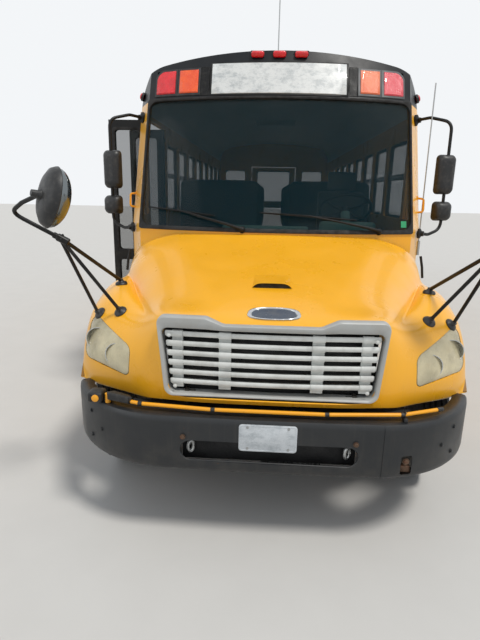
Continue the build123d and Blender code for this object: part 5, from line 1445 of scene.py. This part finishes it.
def side_pieces():
    """Black sashes in every side window, drip rail, seams and rivets."""
    sashes, rails, rivets = shapes(3)
    for side in (-1, 1):
        place = side_place(side)
        bays = [(start, start + window_width) for start in window_starts]
        if side > 0:
            bays.append(driver_window)
        for d0, d1 in bays:
            outer, inner = [framed(d0 - w, d1 + w, window_zs[0] - w, window_zs[1] + w, radius, 2)
                            for w, radius in ((.008, .056), (-.024, .034))]
            gasket(sashes, place, outer, inner, .006, .020)
            for z, high, proud in ((sash_z, .034, -.002), (sash_z + .036, .020, -.010)):
                sashes.box(place(d0 + .018, z, -.019), place(d1 - .018, z + high, proud), .003)
            for d in (d0 + .09, d1 - .09):
                sashes.box(place(d - .018, sash_z + .030, -.021), place(d + .018, sash_z + .046, .001), .002)
        rail_end = rear_y - front_y - .01
        rails.box(place(rail_start, 2.592, -.004), place(rail_end, 2.606, .014), .004)
        rails.box(place(rail_start, 2.606, .006), place(rail_end, 2.618, .014), .003)
        for d in [start - .041 for start in window_starts[1:]] + [window_starts[-1] + .69]:
            for z0, z1 in ((1.060, 1.390), (1.460, 1.636)):
                rails.box(place(d - .011, z0, -.002), place(d + .011, z1, .0016), .0008, 1)
                rows = [z0 + .03 + (z1 - z0 - .06) * i / 5 for i in range(6)]
                rivets.heads([place(d + k * .006, z, .0014) for k in (-1, 1) for z in rows],
                             (side, 0, 0), .0035, .0018, 6)
        start = rivet_starts[side]
        count = int((rear_y - front_y - .1 - start) / rivet_pitch)
        for z in (1.706, 2.560):
            rivets.heads([place(start + rivet_pitch * k, z) for k in range(count)], (side, 0, 0), .005,
                         .0025, 8)
    sashes.make("window_sashes", "root", satin_black)
    rails.make("side_seams", "root", yellow)
    rivets.make("side_rivets", "root", yellow)


side_pieces()


stop_center = (half_width + .022, 2.750, 1.250)


def stop_arm_pieces():
    """Blank red octagon with a white rim and two lamps, folded against the side."""
    plate, rim, lamps, hinge = shapes(4)
    center = at(*stop_center)
    turns = [math.radians(22.5 + 45 * k) for k in range(8)]

    def octagon(radius, lift):
        return [center + Vector((lift, radius * math.cos(t), radius * math.sin(t))) for t in turns]

    plate.slab(octagon(.224, 0), (.012, 0, 0), .002)
    rim.skin([octagon(.216, .0118), octagon(.216, .0132), octagon(.198, .0132), octagon(.198, .0118)],
             wrap_points=True)
    for z in (-.105, .105):
        spot = center + Vector((.011, 0, z))
        lamps.lathe(spot, (1, 0, 0), [(0, .042), (.006, .042), (.014, .036), (.019, .020), (.020, .004)], 32)
        hinge.lathe(spot, (1, 0, 0), [(0, .050), (.005, .050), (.008, .043)], 32)
    hinge.box(at(half_width + .011, 2.428, 1.182), at(half_width + .029, 2.560, 1.318), .006)
    hinge.lathe(at(half_width + .018, 2.420, 1.172), (0, 0, 1), [(0, .012), (.156, .012)], 24)
    hinge.bolts([at(half_width + .029, d, z) for d in (2.46, 2.53) for z in (1.205, 1.295)], (1, 0, 0),
                .008, .005)
    plate.make("stop_face", "stop_arm", stop_red, replaces=["stop_arm"])
    rim.make("stop_rim", "stop_arm", white_paint)
    lamps.make("stop_lamps", "stop_arm", red_lens)
    hinge.make("stop_hinge", "stop_arm", satin_black)


stop_arm_pieces()


# Roof and rear: raised joints, hatch ribs, pane rubbers, door handle

roof_half = 1.16
joint_start = 2.34
rib_xs = (-.21, -.07, .07, .21)
handle_place = (.420, 1.560)
hatch_ds = (5.2, 5.98)
rear_pane_xs = (.620, 1.060)
rear_pane_zs = [(1.420, 1.720), (1.800, 2.420)]
door_pane_x = .360
door_pane_zs = [(1.160, 1.640), (1.760, 2.410)]


def roof_pieces():
    """Raised joints across the roof with rivets, ribs on the hatch's lid."""
    joints, rivets, ribs = shapes(3)
    tree = surface_of(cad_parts["roof"])
    for d in [joint_start + bay_pitch * k for k in range(10)]:
        if hatch_ds[0] < d < hatch_ds[1]:
            continue
        spots = [top_hit(tree, roof_half * (k - 20) / 20, d) for k in range(41)]
        joints.skin([[p + n * lift + Vector((0, y, 0))
                      for y, lift in ((-.016, 0), (-.014, .0025), (.014, .0025), (.016, 0))]
                     for p, n in spots])
        for p, n in spots[::2]:
            rivets.heads([p + n * .002], n, .0045, .002, 6)
    for x in rib_xs:
        ribs.box(at(x - .016, 5.29, 3.083), at(x + .016, 5.91, 3.093), .005)
    for d in (5.27, 5.918):
        ribs.box(at(-.33, d, 3.082), at(.33, d + .012, 3.090), .003)
    joints.make("roof_joints", "root", roof_white)
    rivets.make("roof_rivets", "root", roof_white)
    ribs.make("hatch_ribs", "roof_hatch", roof_white)


roof_pieces()


def rear_pieces():
    """Rubber round the rear panes, the emergency door's handle."""
    rubbers, door_rubbers, handle = shapes(3)

    def place(x, z, proud=0.0):
        return Vector((x, rear_y + proud, z))

    def pane_rubber(shape, x0, x1, z0, z1):
        outer, inner = [framed(x0 - w, x1 + w, z0 - w, z1 + w, radius, 3)
                        for w, radius in ((.014, .030), (-.012, .045))]
        gasket(shape, place, outer, inner, .006, .018)

    for side in (-1, 1):
        for zs in rear_pane_zs:
            pane_rubber(rubbers, *sorted(side * x for x in rear_pane_xs), *zs)
    for zs in door_pane_zs:
        pane_rubber(door_rubbers, -door_pane_x, door_pane_x, *zs)
    handle.lathe(place(*handle_place), (0, 1, 0), [(0, .034), (.008, .034), (.016, .020), (.024, .018)], 24)
    handle.tube([place(*handle_place, .022), place(.420, 1.440, .026), place(.420, 1.400, .020)],
                [.011, .009, .006], 10)
    rubbers.make("rear_rubbers", "root", seal_rubber)
    door_rubbers.make("rear_door_rubbers", "back_door", seal_rubber)
    handle.make("rear_door_handle", "back_door", plated_steel)


rear_pieces()


# Entrance doors: rubber round each pane and along the leaves' free edges

pivot_x = half_width - .022
free_x = pivot_x + .343
entry_pivot_ds = {"door_front": 2.375, "door_rear": 3.051}
entry_pane_zs = [(.810, 1.290), (1.370, 2.480)]


def entry_pieces(body, pivot_d):
    """Pane rubbers on both faces, a soft edge and a pull rail on one leaf."""
    rubbers, rail = shapes(2)
    for face in (-1, 1):
        def place(x, z, proud=0.0):
            return at(-x, pivot_d + face * (.020 + proud), z)

        for z0, z1 in entry_pane_zs:
            gasket(rubbers, place, framed(pivot_x + .033, free_x - .033, z0 - .012, z1 + .012, .020, 2),
                   framed(pivot_x + .055, free_x - .055, z0 + .010, z1 - .010, .030, 2), .004, .014)
    rubbers.box(at(-free_x - .004, pivot_d - .012, .400), at(-free_x + .010, pivot_d + .012, 2.545), .005)
    route = [(-pivot_x - .05, .020), (-pivot_x - .05, .030), (-free_x + .05, .030), (-free_x + .05, .020)]
    rail.tube(bent([at(x, pivot_d + d, 1.325) for x, d in route], .004, 2), .006, 8)
    rubbers.make(f"{body}_rubbers", body, seal_rubber)
    rail.make(f"{body}_rail", body, plated_steel)


for body, pivot_d in entry_pivot_ds.items():
    entry_pieces(body, pivot_d)


# Inside: padded benches, driver's seat, steering wheel, dashboard

bench_count = 8
bench_start = 3.700
bench_xs = (.187, 1.141)
bellows_zs = (1.09, 1.15, 1.21, 1.27, 1.33)
dial_xs = (.50, .62, .74)
switch_pitch = .06
wheel_center = (.640, 2.230, 1.800)
wheel_lean = -35
wheel_radius = .228
spoke_degrees = (-35, 35, 145, 215)


def pad(shape, x0, x1, corners, round_by=.028, puff=.006):
    """A cage for one cushion: a side outline carried across, drawn in at both ends."""
    corners = [Vector(corner) for corner in corners]
    center = sum(corners, Vector((0, 0))) / len(corners)

    def outline(size, swell):
        points = []
        for i, here in enumerate(corners):
            after = corners[(i + 1) % len(corners)]
            to_before, to_after = (corners[i - 1] - here).normalized(), (after - here).normalized()
            middle = (here + after) / 2
            out = Vector((to_after.y, -to_after.x))
            if out.dot(middle - center) < 0:
                out = -out
            points += [here + to_before * round_by, here + (to_before + to_after) * round_by * .12,
                       here + to_after * round_by, middle + out * swell]
        return [center + (p - center) * size for p in points]

    rows = []
    for place, size, swell in ((0, .80, 0), (.008, .93, 0), (.030, .985, 0), (.12, 1, puff), (.5, 1, puff),
                               (.88, 1, puff), (.970, .985, 0), (.992, .93, 0), (1, .80, 0)):
        rows.append([at(x0 + (x1 - x0) * place, *p) for p in outline(size, swell)])
    shape.skin(rows, wrap_points=True, cap=True)


def soft_piece(shape, name, finish, replaces=()):
    """Makes a cage of cushions, smoothed."""
    piece = shape.make(name, "root", finish, replaces=replaces, crease=60)
    modified(piece, "SUBSURF", levels=2, render_levels=2)


def bench_pieces(name, side):
    """Cushions and backs of one side's benches."""
    soft = Shape()
    x0, x1 = sorted(side * x for x in bench_xs)
    for k in range(bench_count):
        d = bench_start + bay_pitch * k
        pad(soft, x0, x1, [(d - .398, 1.333), (d - .398, 1.422), (d - .006, 1.440), (d + .002, 1.333)])
        pad(soft, x0, x1, [(d + .012, 1.336), (d + .006, 1.46), (d + .073, 2.077), (d + .161, 2.077),
                           (d + .098, 1.345)], .034)
    soft_piece(soft, f"bench_pads_{name}", seat_vinyl, [f"seats_{name}"])


for name, side in sides.items():
    bench_pieces(name, side)


def driver_pieces():
    """Driver's seat on its pedestal."""
    base, soft = shapes(2)
    base.box(at(.560, 2.630, 1.001), at(.840, 2.950, 1.060), .012)
    for z in bellows_zs:
        base.box(at(.580, 2.655, z - .024), at(.820, 2.925, z + .022), .020, 3)
    base.box(at(.552, 2.625, 1.360), at(.848, 2.955, 1.402), .010)
    base.tube([at(.862, 2.70, 1.38), at(.905, 2.68, 1.38)], .008, 8)
    pad(soft, .452, .948, [(2.563, 1.404), (2.563, 1.500), (2.950, 1.512), (2.955, 1.404)])
    pad(soft, .462, .938, [(2.966, 1.412), (2.966, 1.960), (3.076, 1.960), (3.076, 1.412)], .034)
    pad(soft, .560, .840, [(2.975, 1.972), (2.975, 2.156), (3.062, 2.156), (3.062, 1.972)], .030)
    base.make("driver_seat_base", "root", satin_black, replaces=["driver_seat"])
    soft_piece(soft, "driver_seat_pads", driver_vinyl)


def steering_piece():
    """Steering wheel with its spokes and hub."""
    wheel = Shape()
    center = at(*wheel_center)
    lean = Matrix.Rotation(math.radians(wheel_lean), 3, "X")

    def spot(radius, c, s, z):
        return center + lean @ Vector((radius * c, radius * s, z))

    wheel.tube([spot(wheel_radius, c, s, 0) for c, s in circle(72)], .0145, 14, closed=True)
    for turn in map(math.radians, spoke_degrees):
        c, s = math.cos(turn), math.sin(turn)
        wheel.tube([spot(.04, c, s, -.018), spot(.13, c, s, -.022), spot(.224, c, s, -.002)],
                   [.016, .011, .009], 10)
    wheel.lathe(spot(0, 0, 0, -.039), lean @ Vector((0, 0, 1)),
                [(0, .040), (.030, .050), (.044, .048), (.052, .030), (.053, .004)], 36)
    wheel.make("steering_rim", "steering_wheel", black_plastic, replaces=["steering_wheel"])


def dashboard_pieces():
    """Hood over the dials, the panel beside it and its switches."""
    dash, dials = shapes(2)
    dash.box(at(.40, 1.99, 1.60), at(.88, 2.10, 1.70), .030, 4)
    dash.box(at(-.45, 1.98, 1.600), at(.30, 2.08, 1.652), .018, 3)
    for x in dial_xs:
        dials.lathe(at(x, 2.100, 1.652), (0, 1, .2),
                    [(0, .045), (.006, .045), (.008, .040), (.003, .038)], 32)
    for k in range(8):
        x = switch_pitch * k - .30
        dash.box(at(x, 2.078, 1.618), at(x + .03, 2.086, 1.636), .003)
    dash.make("dash_hood", "root", dash_plastic)
    dials.make("dash_dials", "root", black_plastic)


driver_pieces()
steering_piece()
dashboard_pieces()


# Stage, light and camera

floor_half = 60.0
floor_shape = Shape()
floor_shape.lid([(floor_half * x, floor_half * y, 0) for x, y in ((-1, -1), (1, -1), (1, 1), (-1, 1))])
floor_mesh = bpy.data.meshes.new("stage_floor")
floor_shape.bm.to_mesh(floor_mesh)
floor_shape.bm.free()
floor_finish = Finish("stage_floor", roughness=0.9)
floor_finish.color(floor_finish.mix(floor_finish.noise(3, 4), srgb(205, 203, 199), srgb(212, 210, 206)))
floor_mesh.materials.append(floor_finish.material)
stage_floor = bpy.data.objects.new("stage_floor", floor_mesh)
bpy.context.collection.objects.link(stage_floor)

world = bpy.data.worlds.new("studio")
bpy.context.scene.world = world
world.use_nodes = True
tree = world.node_tree
tree.nodes.clear()


def background(color, strength):
    """An even sky of one colour."""
    made = tree.nodes.new("ShaderNodeBackground")
    made.inputs["Color"].default_value = color
    made.inputs["Strength"].default_value = strength
    return made


sky = background((0.86, 0.92, 1.0, 1.0), 0.5)
backdrop = background((0.90, 0.92, 0.94, 1.0), 1.0)
path = tree.nodes.new("ShaderNodeLightPath")
seen = path.outputs["Is Camera Ray"]
for ray in ("Is Glossy Ray", "Is Transmission Ray"):
    either = tree.nodes.new("ShaderNodeMath")
    either.operation = "MAXIMUM"
    tree.links.new(seen, either.inputs[0])
    tree.links.new(path.outputs[ray], either.inputs[1])
    seen = either.outputs[0]
choose = tree.nodes.new("ShaderNodeMixShader")
tree.links.new(seen, choose.inputs[0])
tree.links.new(sky.outputs[0], choose.inputs[1])
tree.links.new(backdrop.outputs[0], choose.inputs[2])
out = tree.nodes.new("ShaderNodeOutputWorld")
tree.links.new(choose.outputs[0], out.inputs["Surface"])


def sun(name, toward, strength, spread_degrees, color=(1, 1, 1)):
    """A soft distant lamp that shines from a direction."""
    light = bpy.data.lights.new(name, "SUN")
    light.energy = strength
    light.angle = math.radians(spread_degrees)
    light.color = color
    lamp = bpy.data.objects.new(name, light)
    lamp.rotation_mode = "QUATERNION"
    lamp.rotation_quaternion = Vector(toward).to_track_quat("Z", "Y")
    bpy.context.collection.objects.link(lamp)


sun("key", (0.42, -0.34, 1.0), 2.0, 12, (1.0, 0.97, 0.92))
sun("fill", (-0.7, -0.5, 0.4), 0.35, 40)

camera_place = (-0.028, back(-2.300), 1.919)
camera_yaw = 3.33
camera_pitch = 14.62
camera_roll = 1.08
camera_data = bpy.data.cameras.new("camera")
camera_data.sensor_width = 36.0
camera_data.lens = 27.2
camera = bpy.data.objects.new("camera", camera_data)
bpy.context.collection.objects.link(camera)
camera.matrix_world = (Matrix.Translation(camera_place)
                       @ Matrix.Rotation(math.radians(camera_yaw), 4, "Z")
                       @ Matrix.Rotation(math.radians(90 - camera_pitch), 4, "X")
                       @ Matrix.Rotation(math.radians(camera_roll), 4, "Z"))
bpy.context.scene.camera = camera
bpy.context.scene.view_settings.view_transform = "Standard"
